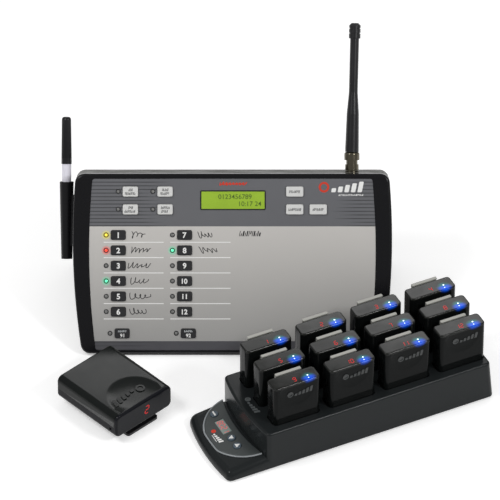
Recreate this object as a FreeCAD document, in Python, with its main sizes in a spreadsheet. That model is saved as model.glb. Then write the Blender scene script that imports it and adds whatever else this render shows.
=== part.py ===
import FreeCAD, Part
import math
import os
import re
from types import SimpleNamespace
from FreeCAD import Placement, Rotation, Vector

# Guest pager system: a desk console with keys, display and antenna, a charging rack
# with twelve pagers standing in it, and one larger pager lying beside them.
# Millimetres, +Z up. The origin is the middle of the console's front rubber foot,
# on the table. +X runs to the right of somebody who faces the console, +Y away.

SIZES = {
    # console housing, measured in the plane of its sloped face
    "face_slope": 55,
    "face_height": 184,
    "face_half_top": 159.5,
    "face_half_middle": 162.5,
    "face_half_bottom": 153.5,
    "face_middle_rise": 100,
    "face_corner": 10,
    "top_depth": 58,
    "shell_wall": 2.6,
    "face_lip": 4,
    "bezel_depth": 9,
    "bezel_edge": 2.6,
    "overlay_half_top": 142.5,
    "overlay_half_middle": 146,
    "overlay_half_bottom": 139.6,
    "overlay_margin_top": 5,
    "overlay_margin_bottom": 3.4,
    "overlay_corner": 3,
    "overlay_thick": 1.2,
    "overlay_sunk": 0.4,
    "overlay_ledge": 3,
    "snug": 0.15,
    "gap": 0.3,
    "overrun": 2,
    # keys, lamps and display on the face
    "header_share": 0.80217,
    "header_pitch_share": 0.09891,
    "header_key_wide": 15.6,
    "header_key_high": 10.3,
    "header_left": -103.8,
    "header_left_pitch": 35.3,
    "header_right": 63.4,
    "header_right_pitch": 23.9,
    "header_right_wide": 17.6,
    "header_key_lift": 1.9,
    "number_key_wide": 14.8,
    "number_key_high": 9.6,
    "number_key_lift": 1.3,
    "number_left": -116.2,
    "number_column_pitch": 67.5,
    "number_share": 0.65978,
    "number_pitch_share": 0.08527,
    "special_left": -112.4,
    "special_share": 0.11304,
    "key_corner": 1.6,
    "key_edge": 0.7,
    "key_flange": 0.9,
    "key_flange_thick": 1.4,
    "key_travel": 0.8,
    "key_foot": 0.9,
    "lamp_offset": 12.4,
    "lamp_radius": 2.3,
    "lamp_lift": 0.7,
    "lamp_dome_share": 0.6,
    "display_x": 0.6,
    "display_share": 0.85272,
    "display_wide": 66.6,
    "display_high": 20,
    "display_rim": 1.1,
    "display_sunk": 0.6,
    "display_lip": 4,
    "display_lift": 0.3,
    "glass_thick": 1,
    # circuit board behind the keys
    "board_half": 147,
    "board_low": 9,
    "board_drop": 13,
    "board_thick": 1.6,
    "switch_side": 6,
    "switch_button": 1.7,
    "switch_rise": 2.6,
    "rib_reach": 9,
    "rib_thick": 2,
    "rib_long": 12,
    "rib_share": 0.8,
    "radio_wide": 42,
    "radio_high": 30,
    "radio_thick": 5,
    # power sockets
    "socket_wide": 9,
    "socket_high": 11,
    "socket_deep": 14,
    "socket_bore": 2.9,
    "socket_bore_deep": 9.5,
    "socket_x": 70,
    "socket_z": 24,
    # antenna
    "antenna_x": 122,
    "antenna_back": 30,
    "jack_flange": 7,
    "jack_flange_thick": 1.2,
    "jack_barrel": 4.8,
    "jack_long": 12,
    "jack_bore": 3.2,
    "jack_bore_deep": 9,
    "jack_nut": 6.5,
    "jack_nut_thick": 2.4,
    "nut_bore": 5.2,
    "nut_low": 7,
    "nut_low_high": 6,
    "nut_neck": 5.85,
    "nut_neck_high": 4.5,
    "nut_top": 7.8,
    "nut_top_high": 8,
    "nut_dome": 2,
    "whip_pin": 1,
    "whip_pin_long": 6,
    "whip_base": 7,
    "whip_swell": 6.2,
    "whip_swell_rise": 39,
    "whip_thin": 4.5,
    "whip_thin_rise": 61,
    "whip_cap": 5.9,
    "whip_cap_long": 15.5,
    "whip_long": 131.5,
    "whip_round": 2.4,
    "whip_groove": 0.6,
    "groove_low_share": 0.3,
    "groove_high_share": 0.62,
    "whip_lean": 1.3,
    # marker pen and its holder
    "holder_rim": 7.2,
    "holder_foot": 5.7,
    "holder_wall": 1.5,
    "holder_low": 95,
    "holder_long": 79,
    "holder_x": 169.4,
    "holder_back": 26,
    "holder_plate": 9,
    "holder_plate_long": 52,
    "pen_body": 4.9,
    "pen_low": 3.8,
    "pen_long": 95.3,
    "pen_neck": 3.4,
    "pen_neck_long": 18,
    "pen_nib": 1.4,
    "pen_nib_long": 9,
    "cap_low_radius": 5.4,
    "cap_top_radius": 4.8,
    "cap_long": 48,
    "cap_round": 3,
    "cap_rib": 0.8,
    "cap_band": 6,
    # feet and screws
    "foot_high": 3,
    "foot_deep": 7.4,
    "foot_inset": 8,
    "foot_long": 260,
    "foot_pad": 14,
    "screw_head": 3,
    "screw_head_high": 2,
    "screw_shank": 1.4,
    "screw_long": 12,
    "screw_x": 118,
    "screw_y": 9,
    "thread_play": 0.05,
    "boss_radius": 4,
    "boss_half": 5,
    "boss_high": 13,
    "boss_long": 15,
    "ledge_bite": 1.5,
    # charging rack, in its own axes from its near left corner
    "rack_x": 36,
    "rack_y": -180,
    "rack_turn": 26,
    "rack_long": 250,
    "rack_deep": 101,
    "rack_high": 47,
    "rack_end_bow": 5.5,
    "rack_end_draft": 4.5,
    "rack_edge": 2.4,
    "rack_corner": 5,
    "rack_wall": 2.5,
    "rack_foot": 2,
    "rack_plate": 2.5,
    "well_deep": 14,
    "well_play": 0.6,
    "well_floor": 2.5,
    "well_left": 11.5,
    "well_front": 9.5,
    "well_pitch_x": 61.6,
    "well_pitch_y": 31.6,
    # nose of the rack with its panel
    "nose_long": 43.5,
    "nose_bow": 5.5,
    "nose_far_long": 40,
    "nose_high": 16.7,
    "nose_tip_high": 11.2,
    "nose_tip_round": 8,
    "nose_near_corner": 6,
    "nose_far_corner": 11,
    "nose_root": 6,
    "panel_proud": 1.2,
    "panel_edge": 0.9,
    "panel_near": 10,
    "panel_far": 98,
    "panel_out": 38.5,
    "panel_root": 2.4,
    "panel_row": 19,
    "panel_bed": 1.4,
    "panel_flat_near_share": 0.33,
    "panel_flat_far_share": 0.61,
    "panel_near_x_share": 0.64,
    "panel_near_y_share": 0.105,
    "panel_far_x_share": 0.83,
    "panel_far_y_share": 0.21,
    "panel_pocket": 12.4,
    "panel_pocket_low": 20,
    "panel_pocket_high": 90.2,
    "panel_pocket_corner": 6,
    "panel_pocket_deep": 7.5,
    "panel_post": 1.6,
    "panel_post_y": 77,
    "readout_long": 21,
    "readout_wide": 9.7,
    "readout_y": 64,
    "readout_board_deep": 4.6,
    "readout_sunk": 0.5,
    "round_key": 4.3,
    "round_key_lift": 1,
    "round_key_flange": 0.9,
    "round_key_flange_thick": 1.4,
    "dash_key_y": 84.5,
    "up_key_y": 44.5,
    "down_key_y": 31.5,
    "rack_board_thick": 1.6,
    "rack_board_rise": 12,
    "contact_radius": 1,
    "contact_pitch": 12,
    "contact_stand": 0.8,
    "rack_socket_end": 45,
    # pagers: the docked kind, with the lying one drawn larger by one factor
    "pager_wide": 51.5,
    "pager_thick": 18.3,
    "pager_high": 60.5,
    "pager_split": 9.6,
    "pager_lens": 2.4,
    "pager_front_corner": 4.5,
    "pager_back_corner": 4,
    "pager_edge": 1.6,
    "pager_wall": 1.8,
    "pager_slot": 2,
    "slot_rise": 54.4,
    "slot_back": 12.8,
    "dish_radius": 20,
    "dish_deep": 0.6,
    "dish_rise": 51,
    "clip_wide": 28,
    "clip_thick": 2,
    "clip_long": 42,
    "clip_gap": 3.8,
    "clip_top": 1,
    "clip_pivot": 10,
    "clip_knuckle": 2.4,
    "clip_knuckle_long": 16,
    "clip_pin": 0.9,
    "lug_thick": 2.4,
    "lug_edge": 0.5,
    "lug_play": 0.4,
    "clip_corner": 2,
    "sample_factor": 1.47,
    "sample_x": -119,
    "sample_y": -84,
    "sample_turn": 43.5,
}

doc = FreeCAD.newDocument("guest_pager_system")
sheet = doc.addObject("Spreadsheet::Sheet", "sizes")
for row, (name, value) in enumerate(SIZES.items(), start=1):
    sheet.set("A%d" % row, name)
    sheet.set("B%d" % row, str(value))
    sheet.setAlias("B%d" % row, name)
doc.recompute()

s = SimpleNamespace(**{name: float(sheet.get(name)) for name in SIZES})
sub_parts = []


def bound(text):
    """Turn a formula in plain size names into one that reads the sheet."""
    return re.sub(r"[a-z]\w*", lambda w: "sizes." + w.group() if w.group() in SIZES else w.group(), text)


def bind(thing, **formulas):
    """Bind properties to formulas; at=(x, y, z) binds the place."""
    for name, text in formulas.items():
        if name == "at":
            for axis, part in zip("xyz", text):
                thing.setExpression("Placement.Base." + axis, bound(part))
        else:
            thing.setExpression(name, bound(text))
    return thing


TURNS = {
    "z": Rotation(),
    "x": Rotation(Vector(0, 1, 0), 90),
    "y": Rotation(Vector(1, 0, 0), -90),
}
PLANES = {
    "xy": Rotation(),
    "yz": Rotation(Vector(1, 1, 1), 120),
    "zx": Rotation(Vector(1, 0, 0), 90),
}


def block(name, at, along_x, along_y, along_z):
    """A box from its low corner."""
    piece = doc.addObject("Part::Box", name)
    return bind(piece, Length=along_x, Width=along_y, Height=along_z, at=at)


def rod(name, at, radius, tall, axis="z"):
    """A cylinder from the middle of its first end."""
    piece = doc.addObject("Part::Cylinder", name)
    piece.Placement = Placement(Vector(), TURNS[axis])
    return bind(piece, Radius=radius, Height=tall, at=at)


def cone(name, at, radius, other, tall, axis="z"):
    """A cone from the middle of its first end."""
    piece = doc.addObject("Part::Cone", name)
    piece.Placement = Placement(Vector(), TURNS[axis])
    return bind(piece, Radius1=radius, Radius2=other, Height=tall, at=at)


def prism(name, loops, at, tall, plane="xy"):
    """A sketch of closed loops, pushed out square to its plane."""
    sketch = doc.addObject("Sketcher::SketchObject", name + "_outline")
    sketch.Placement = Placement(Vector(), PLANES[plane])
    bind(sketch, at=at)
    for loop in loops:
        sketch.addGeometry(loop)
    piece = doc.addObject("Part::Extrusion", name)
    piece.Base = sketch
    piece.DirMode = "Normal"
    piece.Solid = True
    return bind(piece, LengthFwd=tall)


def cut(name, base, *tools):
    """The base without the tools."""
    piece = doc.addObject("Part::Cut", name)
    piece.Base = base
    piece.Tool = tools[0] if len(tools) == 1 else fuse(name + "_tools", *tools)
    return piece


def fuse(name, *pieces):
    """Several pieces made one."""
    piece = doc.addObject("Part::MultiFuse", name)
    piece.Shapes = list(pieces)
    piece.Refine = True
    return piece


def common(name, base, tool):
    """What two pieces share."""
    piece = doc.addObject("Part::Common", name)
    piece.Base = base
    piece.Tool = tool
    return piece


def group(name, *pieces):
    """Separate solids kept in one node."""
    piece = doc.addObject("Part::Compound", name)
    piece.Links = list(pieces)
    return piece


def round_off(name, base, radius, wanted):
    """Round the edges that wanted() picks."""
    doc.recompute()
    picks = [i for i, edge in enumerate(base.Shape.Edges, start=1) if wanted(edge)]
    piece = doc.addObject("Part::Fillet", name)
    piece.Base = base
    piece.Edges = [(i, radius, radius) for i in picks]
    return piece


def keep(label, piece, place=Placement()):
    """Name a finished sub-part and put it in its place."""
    piece.Label = label
    piece.Placement = place.multiply(piece.Placement)
    sub_parts.append(piece)
    return piece


def closed(points):
    """Straight edges round a list of points."""
    corners = [Vector(x, y, 0) for x, y in points]
    return [Part.LineSegment(a, b) for a, b in zip(corners, corners[1:] + corners[:1])]


def disc(x, y, radius):
    """One round loop."""
    return [Part.Circle(Vector(x, y, 0), Vector(0, 0, 1), radius)]


def soft_rectangle(x, y, wide, high, *radii):
    """A rectangle about its middle, its corners rounded from the low left one on."""
    radii = radii * 4 if len(radii) == 1 else radii
    half_x = wide / 2
    half_y = high / 2
    loop = []
    ends = []
    corners = zip(((-1, -1), (1, -1), (1, 1), (-1, 1)), radii, (180, 270, 0, 90))
    for (side_x, side_y), radius, start in corners:
        middle = Vector(x + side_x * (half_x - radius), y + side_y * (half_y - radius), 0)
        circle = Part.Circle(middle, Vector(0, 0, 1), radius)
        arc = Part.ArcOfCircle(circle, math.radians(start), math.radians(start + 90))
        loop.append(arc)
        ends.append((arc.StartPoint, arc.EndPoint))
    for (_, leave), (reach, _) in zip(ends, ends[1:] + ends[:1]):
        loop.append(Part.LineSegment(leave, reach))
    return loop


def bowed(half_low, half_middle, half_top, low, middle, top):
    """A loop with straight low and top sides and flanks that bow out."""
    right = Part.Arc(Vector(half_low, low, 0), Vector(half_middle, middle, 0), Vector(half_top, top, 0))
    left = Part.Arc(Vector(-half_top, top, 0), Vector(-half_middle, middle, 0), Vector(-half_low, low, 0))
    base = Part.LineSegment(Vector(-half_low, low, 0), Vector(half_low, low, 0))
    head = Part.LineSegment(Vector(half_top, top, 0), Vector(-half_top, top, 0))
    return [base, right, head, left]


def upright(edge):
    """True for a straight edge along Z."""
    return isinstance(edge.Curve, Part.Line) and abs(edge.Curve.Direction.z) > 1 - TINY


def steep(edge):
    """True for an edge that climbs all the way up the rack."""
    box = edge.BoundBox
    return abs(box.ZMin - s.rack_foot) < TINY and abs(box.ZMax - s.rack_high) < TINY


def level(height):
    """A test for edges that lie wholly at one height."""
    return lambda edge: abs(edge.BoundBox.ZMin - height) < TINY and abs(edge.BoundBox.ZMax - height) < TINY


TINY = 1e-4
FULL_TURN = 360
NUMBER_ROWS = 6
NUMBER_COLUMNS = 2
SPECIAL_KEY = 91
CAP_RIBS = 12
WELL_ROWS = 3
WELL_COLUMNS = 4

# The console. Its pieces are drawn flat, x across, y up the sloped face and z out of it,
# and then leaned back together.

lean = Rotation(Vector(1, 0, 0), s.face_slope)
slope = math.radians(s.face_slope)
console = Placement(Vector(0, -s.foot_inset, s.foot_high + s.face_lip * math.cos(slope)), lean)
back = s.face_height * math.cos(slope) + s.top_depth * math.sin(slope)
deep = "(face_height * cos(face_slope * 1deg) + top_depth)"


def face_outline(inset):
    """The housing's outline, drawn in by an inset."""
    halves = [half - inset for half in (s.face_half_bottom, s.face_half_middle, s.face_half_top)]
    return bowed(*halves, inset, s.face_middle_rise, s.face_height - inset)


def wedge_outline(inset):
    """The housing's side view: its face, top, back wall and floor, drawn in by an inset."""
    floor = inset - s.face_lip * math.cos(slope)
    wall = back - inset
    top = s.face_height - inset
    return closed([
        (inset, 0),
        (top, 0),
        (top, (top * math.cos(slope) - wall) / math.sin(slope)),
        (wall * math.cos(slope) + floor * math.sin(slope), floor * math.cos(slope) - wall * math.sin(slope)),
        (inset, (floor - inset * math.sin(slope)) / math.cos(slope)),
    ])


def wedge(name, inset):
    """The solid wedge behind the face outline."""
    plan = prism(name + "_plan", [face_outline(inset)], ("0", "0", "-" + deep), deep)
    rounded = round_off(name + "_rounded", plan, s.face_corner - inset, upright)
    side_at = ("-face_half_middle - overrun", "0", "0")
    side = prism(name + "_side", [wedge_outline(inset)], side_at, "2 * (face_half_middle + overrun)", "yz")
    return common(name, rounded, side)


def slab(name, low, tall):
    """A flat block over the whole face."""
    at = ("-face_half_middle - overrun", "-overrun", low)
    return block(name, at, "2 * (face_half_middle + overrun)", "face_height + 2 * overrun", tall)


def overlay_outline(inset):
    """The face plate's outline, drawn in by an inset."""
    halves = (s.overlay_half_bottom, s.overlay_half_middle, s.overlay_half_top)
    low = s.overlay_margin_bottom + inset
    top = s.face_height - s.overlay_margin_top - inset
    return bowed(*[half - inset for half in halves], low, s.face_middle_rise, top)


def upended(piece, x, y, z):
    """Stand a piece upright on the table while the console is drawn flat."""
    stand = Placement(Vector(x, y, z), Rotation())
    piece.Placement = console.inverse().multiply(stand)
    return piece


def screw_holes(name, radius, tall, sink):
    """One upright rod at each console screw."""
    rods = []
    for number, side in enumerate((-1, 1), start=1):
        tool = doc.addObject("Part::Cylinder", "%s_%d" % (name, number))
        bind(tool, Radius=radius, Height=tall)
        rods.append(upended(tool, side * s.screw_x, s.screw_y, s.foot_high + sink))
    return rods


def build_rear_shell():
    """Hollow wedge with ribs for the board, a hole for the antenna and one for the power socket."""
    front = slab("shell_front", "-bezel_depth", "bezel_depth + overrun")
    outer = cut("shell_outer", wedge("housing", 0), front)
    hollow = cut("shell_hollow", outer, wedge("cavity", s.shell_wall))
    ribs = []
    for side in (-1, 1):
        for share in (1 - s.rib_share, s.rib_share):
            x = "board_half - rib_reach / 2" if side > 0 else "-face_half_middle"
            at = (x, "face_height * %s - rib_thick / 2" % share, "-bezel_depth - board_thick - rib_long")
            width = "face_half_middle - board_half + rib_reach / 2"
            ribs.append(block("shell_rib", at, width, "rib_thick", "rib_long"))
    ribbed = common("shell_ribbed", fuse("shell_with_ribs", hollow, *ribs), outer)
    antenna = rod("shell_antenna_hole", ("antenna_x", "face_height - shell_wall - overrun", "-antenna_back"),
                  "jack_barrel + gap", "shell_wall + 2 * overrun", "y")
    socket = doc.addObject("Part::Box", "shell_socket_hole")
    bind(socket, Length="socket_wide + 2 * snug", Width="shell_wall + 2 * overrun",
         Height="socket_high + 2 * snug")
    upended(socket, s.socket_x - s.socket_wide / 2 - s.snug, back - s.foot_inset - s.shell_wall - s.overrun,
            s.socket_z - s.snug)
    holes = screw_holes("shell_screw_hole", "screw_shank + gap", "shell_wall + overrun", 0)
    heads = screw_holes("shell_screw_seat", "screw_head + gap", "screw_head_high / 2", 0)
    return keep("console_rear_shell", cut("rear_shell", ribbed, antenna, socket, *holes, *heads), console)


def build_bezel():
    """Black frame round the face plate, with two bosses for the screws from below."""
    plate = common("bezel_plate", wedge("bezel_wedge", 0), slab("bezel_slab", "-bezel_depth", "bezel_depth"))
    soft = round_off("bezel_soft", plate, s.bezel_edge, level(0))
    bed = prism("bezel_bed", [overlay_outline(0)], ("0", "0", "-overlay_thick - overlay_sunk"),
                "overlay_thick + overlay_sunk + overrun")
    window = prism("bezel_window", [overlay_outline(s.overlay_ledge)], ("0", "0", "-bezel_depth - overrun"),
                   "bezel_depth + 2 * overrun")
    frame = cut("bezel_frame", soft, round_off("bezel_bed_soft", bed, s.overlay_corner, upright), window)
    bosses = []
    for side in (-1, 1):
        at = ("%d * screw_x - boss_half" % side, "shell_wall", "-bezel_depth - boss_long")
        tall = "boss_long + ledge_bite"
        bosses.append(block("bezel_boss", at, "2 * boss_half", "boss_high", tall))
    held = common("bezel_bosses", fuse("bezel_boss_pair", *bosses), wedge("bezel_boss_room", s.shell_wall))
    pilots = screw_holes("bezel_pilot", "screw_shank", "screw_long + overrun", s.shell_wall)
    return keep("console_front_bezel", cut("front_bezel", fuse("bezel_whole", frame, held), *pilots), console)


def header_rise(row):
    """Height up the face of a row of header keys, counted from the lower one."""
    return s.face_height * (s.header_share + row * s.header_pitch_share)


def header_keys():
    """Place and width of each grey key in the dark header, with a lamp beside the left ones."""
    keys = []
    for column in (0, 1):
        for row in (1, 0):
            x = s.header_left + column * s.header_left_pitch
            keys.append((x, header_rise(row), s.header_key_wide, True))
    for column, row in ((0, 1), (0, 0), (1, 0)):
        x = s.header_right + column * s.header_right_pitch
        keys.append((x, header_rise(row), s.header_right_wide, False))
    return keys


def number_keys():
    """Place and name of each black key on the write-on area."""
    keys = []
    for number in range(NUMBER_ROWS * NUMBER_COLUMNS):
        column, row = divmod(number, NUMBER_ROWS)
        x = s.number_left + column * s.number_column_pitch
        rise = s.face_height * (s.number_share - row * s.number_pitch_share)
        keys.append((x, rise, "key_%02d" % (number + 1)))
    for column in range(NUMBER_COLUMNS):
        x = s.special_left + column * s.number_column_pitch
        keys.append((x, s.face_height * s.special_share, "key_%02d" % (SPECIAL_KEY + column)))
    return keys


def lamps():
    """Places of the lamps, each at the left of its key."""
    lit = [(x - s.lamp_offset, y) for x, y, _, has_lamp in header_keys() if has_lamp]
    return lit + [(x - s.lamp_offset, y) for x, y, _ in number_keys()]


def build_overlay():
    """Face plate with a hole for each key and lamp and for the display."""
    at = ("0", "0", "-overlay_thick - overlay_sunk")
    plate = prism("overlay_plate", [overlay_outline(s.snug)], at, "overlay_thick")
    soft = round_off("overlay_soft", plate, s.overlay_corner - s.snug, upright)
    play = 2 * s.gap
    corner = s.key_corner + s.gap
    loops = []
    for x, y, wide, _ in header_keys():
        loops.append(soft_rectangle(x, y, wide + play, s.header_key_high + play, corner))
    for x, y, _ in number_keys():
        loops.append(soft_rectangle(x, y, s.number_key_wide + play, s.number_key_high + play, corner))
    for x, y in lamps():
        loops.append(disc(x, y, s.lamp_radius + s.gap))
    wide = s.display_wide + 2 * s.snug
    high = s.display_high + 2 * s.snug
    loops.append(soft_rectangle(s.display_x, s.face_height * s.display_share, wide, high, s.key_corner))
    holes = prism("overlay_holes", loops, ("0", "0", "-overlay_thick - overlay_sunk - overrun"),
                  "overlay_thick + 2 * overrun")
    return keep("console_overlay", cut("overlay", soft, holes), console)


def sketch_on(body, name, loop, offset):
    """A sketch on the body's own ground plane, raised by an offset."""
    sketch = body.newObject("Sketcher::SketchObject", name)
    plane = next(item for item in body.Origin.OriginFeatures if item.Role == "XY_Plane")
    sketch.AttachmentSupport = [(plane, "")]
    sketch.MapMode = "FlatFace"
    sketch.setExpression("AttachmentOffset.Base.z", bound(offset))
    sketch.addGeometry(loop)
    return sketch


def pad(body, name, sketch, length):
    """Push a sketch of a body out."""
    feature = body.newObject("PartDesign::Pad", name)
    feature.Profile = sketch
    feature.setExpression("Length", bound(length))
    return feature


def build_key(label, x, y, wide, high, lift):
    """A key cap that stands out of the face plate, with a flange that holds it behind the plate."""
    body = doc.addObject("PartDesign::Body", label)
    half = s.key_flange
    flange_loop = soft_rectangle(0, 0, wide + 2 * half, high + 2 * half, s.key_corner)
    under = "-overlay_thick - overlay_sunk - gap - key_flange_thick"
    foot = soft_rectangle(0, 0, wide / 2, high / 2, s.key_corner)
    pad(body, label + "_foot", sketch_on(body, label + "_foot_sketch", foot, under + " - key_foot"),
        "key_foot + key_flange_thick / 2")
    flange = sketch_on(body, label + "_flange_sketch", flange_loop, under)
    pad(body, label + "_flange", flange, "key_flange_thick")
    cap_loop = soft_rectangle(0, 0, wide, high, s.key_corner)
    tall = "overlay_thick + overlay_sunk + gap + key_flange_thick / 2 + " + lift
    cap = pad(body, label + "_cap", sketch_on(body, label + "_cap_sketch", cap_loop,
                                              under + " + key_flange_thick / 2"), tall)
    doc.recompute()
    top = max(vertex.Z for vertex in cap.Shape.Vertexes)
    is_rim = level(top)
    edge = body.newObject("PartDesign::Fillet", label + "_edge")
    edge.Base = (cap, ["Edge%d" % i for i, item in enumerate(cap.Shape.Edges, start=1) if is_rim(item)])
    edge.setExpression("Radius", bound("key_edge"))
    keep(label, body, console.multiply(Placement(Vector(x, y, 0), Rotation())))


def build_display():
    """Display housing with a raised frame and its glass."""
    at = ("display_x - display_wide / 2 - display_lip",
          "face_height * display_share - display_high / 2 - display_lip / 2",
          "-bezel_depth")
    case = block("display_case", at, "display_wide + 2 * display_lip", "display_high + display_lip",
                 "bezel_depth - overlay_thick - overlay_sunk - gap")
    outline = soft_rectangle(s.display_x, s.face_height * s.display_share, s.display_wide, s.display_high,
                             s.key_corner)
    frame = prism("display_frame", [outline], ("0", "0", "-bezel_depth"),
                  "bezel_depth - overlay_sunk + display_lift")
    bed_at = ("display_x - display_wide / 2 + display_rim",
              "face_height * display_share - display_high / 2 + display_rim",
              "-overlay_sunk + display_lift - display_sunk - glass_thick")
    bed = block("display_bed", bed_at, "display_wide - 2 * display_rim", "display_high - 2 * display_rim",
                "glass_thick + display_sunk + overrun")
    glass = block("display_glass", bed_at, "display_wide - 2 * display_rim", "display_high - 2 * display_rim",
                  "glass_thick")
    holder = cut("display_holder", fuse("display_whole", case, frame), bed)
    return keep("display_module", group("display", holder, glass), console)


def build_main_board():
    """Circuit board with a switch under each key, a radio can and the power socket in the back wall."""
    at = ("-board_half", "board_low", "-bezel_depth - board_thick")
    sheet_part = block("board_sheet", at, "2 * board_half", "face_height - board_drop - board_low",
                       "board_thick")
    notches = []
    for side in (-1, 1):
        notch_at = ("%d * screw_x - boss_half - gap" % side, "board_low - overrun",
                    "-bezel_depth - board_thick - overrun")
        notches.append(block("board_notch", notch_at, "2 * (boss_half + gap)",
                             "shell_wall + boss_high + screw_head + gap - board_low + overrun",
                             "board_thick + 2 * overrun"))
    solids = [cut("board", sheet_part, *notches)]
    places = [(x, y) for x, y, _, _ in header_keys()] + [(x, y) for x, y, _ in number_keys()]
    half = s.switch_side / 2
    cases = [closed([(x - half, y - half), (x + half, y - half), (x + half, y + half), (x - half, y + half)])
             for x, y in places]
    solids.append(prism("switch_cases", cases, ("0", "0", "-bezel_depth"), "switch_rise"))
    buttons = [disc(x, y, s.switch_button) for x, y in places]
    room = "bezel_depth - switch_rise - overlay_thick - overlay_sunk - gap - key_flange_thick - key_foot"
    solids.append(prism("switch_buttons", buttons, ("0", "0", "-bezel_depth + switch_rise"),
                        room + " - key_travel - snug"))
    radio_at = ("antenna_x - radio_wide", "face_height - board_drop - radio_high - boss_high",
                "-bezel_depth - board_thick - radio_thick")
    solids.append(block("radio_can", radio_at, "radio_wide", "radio_high", "radio_thick"))
    body = doc.addObject("Part::Box", "socket_body")
    bind(body, Length="socket_wide", Width="socket_deep", Height="socket_high")
    bore = doc.addObject("Part::Cylinder", "socket_bore_tool")
    bind(bore, Radius="socket_bore", Height="socket_bore_deep + overrun")
    wall_y = back - s.foot_inset
    upended(body, s.socket_x - s.socket_wide / 2, wall_y - s.socket_deep, s.socket_z)
    mouth = Vector(s.socket_x, wall_y - s.socket_bore_deep, s.socket_z + s.socket_high / 2)
    stand = Placement(mouth, TURNS["y"])
    bore.Placement = console.inverse().multiply(stand)
    solids.append(cut("socket", body, bore))
    return keep("main_board", group("board_and_parts", *solids), console)


def build_lamps():
    """A round lamp with a domed top in each small hole of the face plate."""
    solids = []
    for x, y in lamps():
        tall = "bezel_depth - overlay_sunk + lamp_lift"
        post = prism("lamp", [disc(x, y, s.lamp_radius)], ("0", "0", "-bezel_depth"), tall)
        top = s.lamp_lift - s.overlay_sunk
        solids.append(round_off("lamp_dome", post, s.lamp_radius * s.lamp_dome_share, level(top)))
    return keep("status_leds", group("lamps", *solids), console)


def build_antenna_jack():
    """Threaded socket through the top wall, with its flange outside and its nut inside."""
    top = "face_height"
    parts = [
        rod("jack_flange_disc", ("antenna_x", top, "-antenna_back"), "jack_flange", "jack_flange_thick", "y"),
        rod("jack_barrel_rod",
            ("antenna_x", top + " - shell_wall - jack_nut_thick - overrun", "-antenna_back"),
            "jack_barrel", "shell_wall + jack_nut_thick + overrun + jack_long", "y"),
        rod("jack_nut_disc", ("antenna_x", top + " - shell_wall - jack_nut_thick", "-antenna_back"),
            "jack_nut", "jack_nut_thick", "y"),
    ]
    bore = rod("jack_bore_tool", ("antenna_x", top + " + jack_long - jack_bore_deep", "-antenna_back"),
               "jack_bore", "jack_bore_deep + overrun", "y")
    return keep("antenna_jack", cut("jack", fuse("jack_whole", *parts), bore), console)


def build_antenna_nut():
    """Bayonet nut round the socket: knurled band, neck and domed flange."""
    start = "face_height + jack_flange_thick + gap"
    foot = ("antenna_x", start, "-antenna_back")
    neck = ("antenna_x", start + " + nut_low_high", "-antenna_back")
    head = ("antenna_x", start + " + nut_low_high + nut_neck_high", "-antenna_back")
    low = rod("nut_band", foot, "nut_low", "nut_low_high", "y")
    middle = rod("nut_waist", neck, "nut_neck", "nut_neck_high", "y")
    top = rod("nut_flange", head, "nut_top", "nut_top_high", "y")
    crown = s.face_height + s.jack_flange_thick + s.gap + s.nut_low_high + s.nut_neck_high + s.nut_top_high
    domed = round_off("nut_domed", top, s.nut_dome, lambda edge: abs(edge.BoundBox.YMin - crown) < TINY)
    bore = rod("nut_bore_tool", ("antenna_x", start + " - overrun", "-antenna_back"), "nut_bore",
               "nut_low_high + nut_neck_high + nut_top_high + 2 * overrun", "y")
    return keep("antenna_nut", cut("nut", fuse("nut_whole", low, middle, domed), bore), console)


def build_whip():
    """Rubber whip with a swollen foot, a grooved cap and the ferrule and pin that go in the socket."""
    seat = s.jack_flange_thick + s.nut_low_high + s.nut_neck_high + s.nut_top_high + 2 * s.gap
    cap_end = s.whip_long - s.whip_round
    cap_rise = s.whip_long - s.whip_cap_long
    groove_low = cap_rise + s.whip_cap_long * s.groove_low_share
    groove_high = cap_rise + s.whip_cap_long * s.groove_high_share
    step = s.whip_groove * 2
    profile = [
        (0, s.jack_long - s.whip_pin_long - seat),
        (s.whip_pin, s.jack_long - s.whip_pin_long - seat),
        (s.whip_pin, s.jack_long + s.gap - seat),
        (s.nut_bore - s.gap, s.jack_long + s.gap - seat),
        (s.nut_bore - s.gap, 0),
        (s.whip_base, 0),
        (s.whip_swell, s.whip_swell_rise),
        (s.whip_thin, s.whip_thin_rise),
        (s.whip_thin, cap_rise),
        (s.whip_cap, cap_rise),
        (s.whip_cap, groove_low),
        (s.whip_cap - s.whip_groove, groove_low),
        (s.whip_cap - s.whip_groove, groove_low + step),
        (s.whip_cap, groove_low + step),
        (s.whip_cap, groove_high),
        (s.whip_cap - s.whip_groove, groove_high),
        (s.whip_cap - s.whip_groove, groove_high + step),
        (s.whip_cap, groove_high + step),
        (s.whip_cap, cap_end),
        (s.whip_cap - s.whip_round, s.whip_long),
        (0, s.whip_long),
    ]
    body = doc.addObject("PartDesign::Body", "antenna_whip")
    sketch = sketch_on(body, "whip_profile", closed(profile), "0")
    turn = body.newObject("PartDesign::Revolution", "whip_turned")
    turn.Profile = sketch
    turn.ReferenceAxis = (sketch, ["V_Axis"])
    turn.Angle = FULL_TURN
    leaned = Rotation(Vector(0, 0, 1), -s.whip_lean)
    foot = Placement(Vector(s.antenna_x, s.face_height + seat, -s.antenna_back), leaned)
    return keep("antenna_whip", body, console.multiply(foot))


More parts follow.
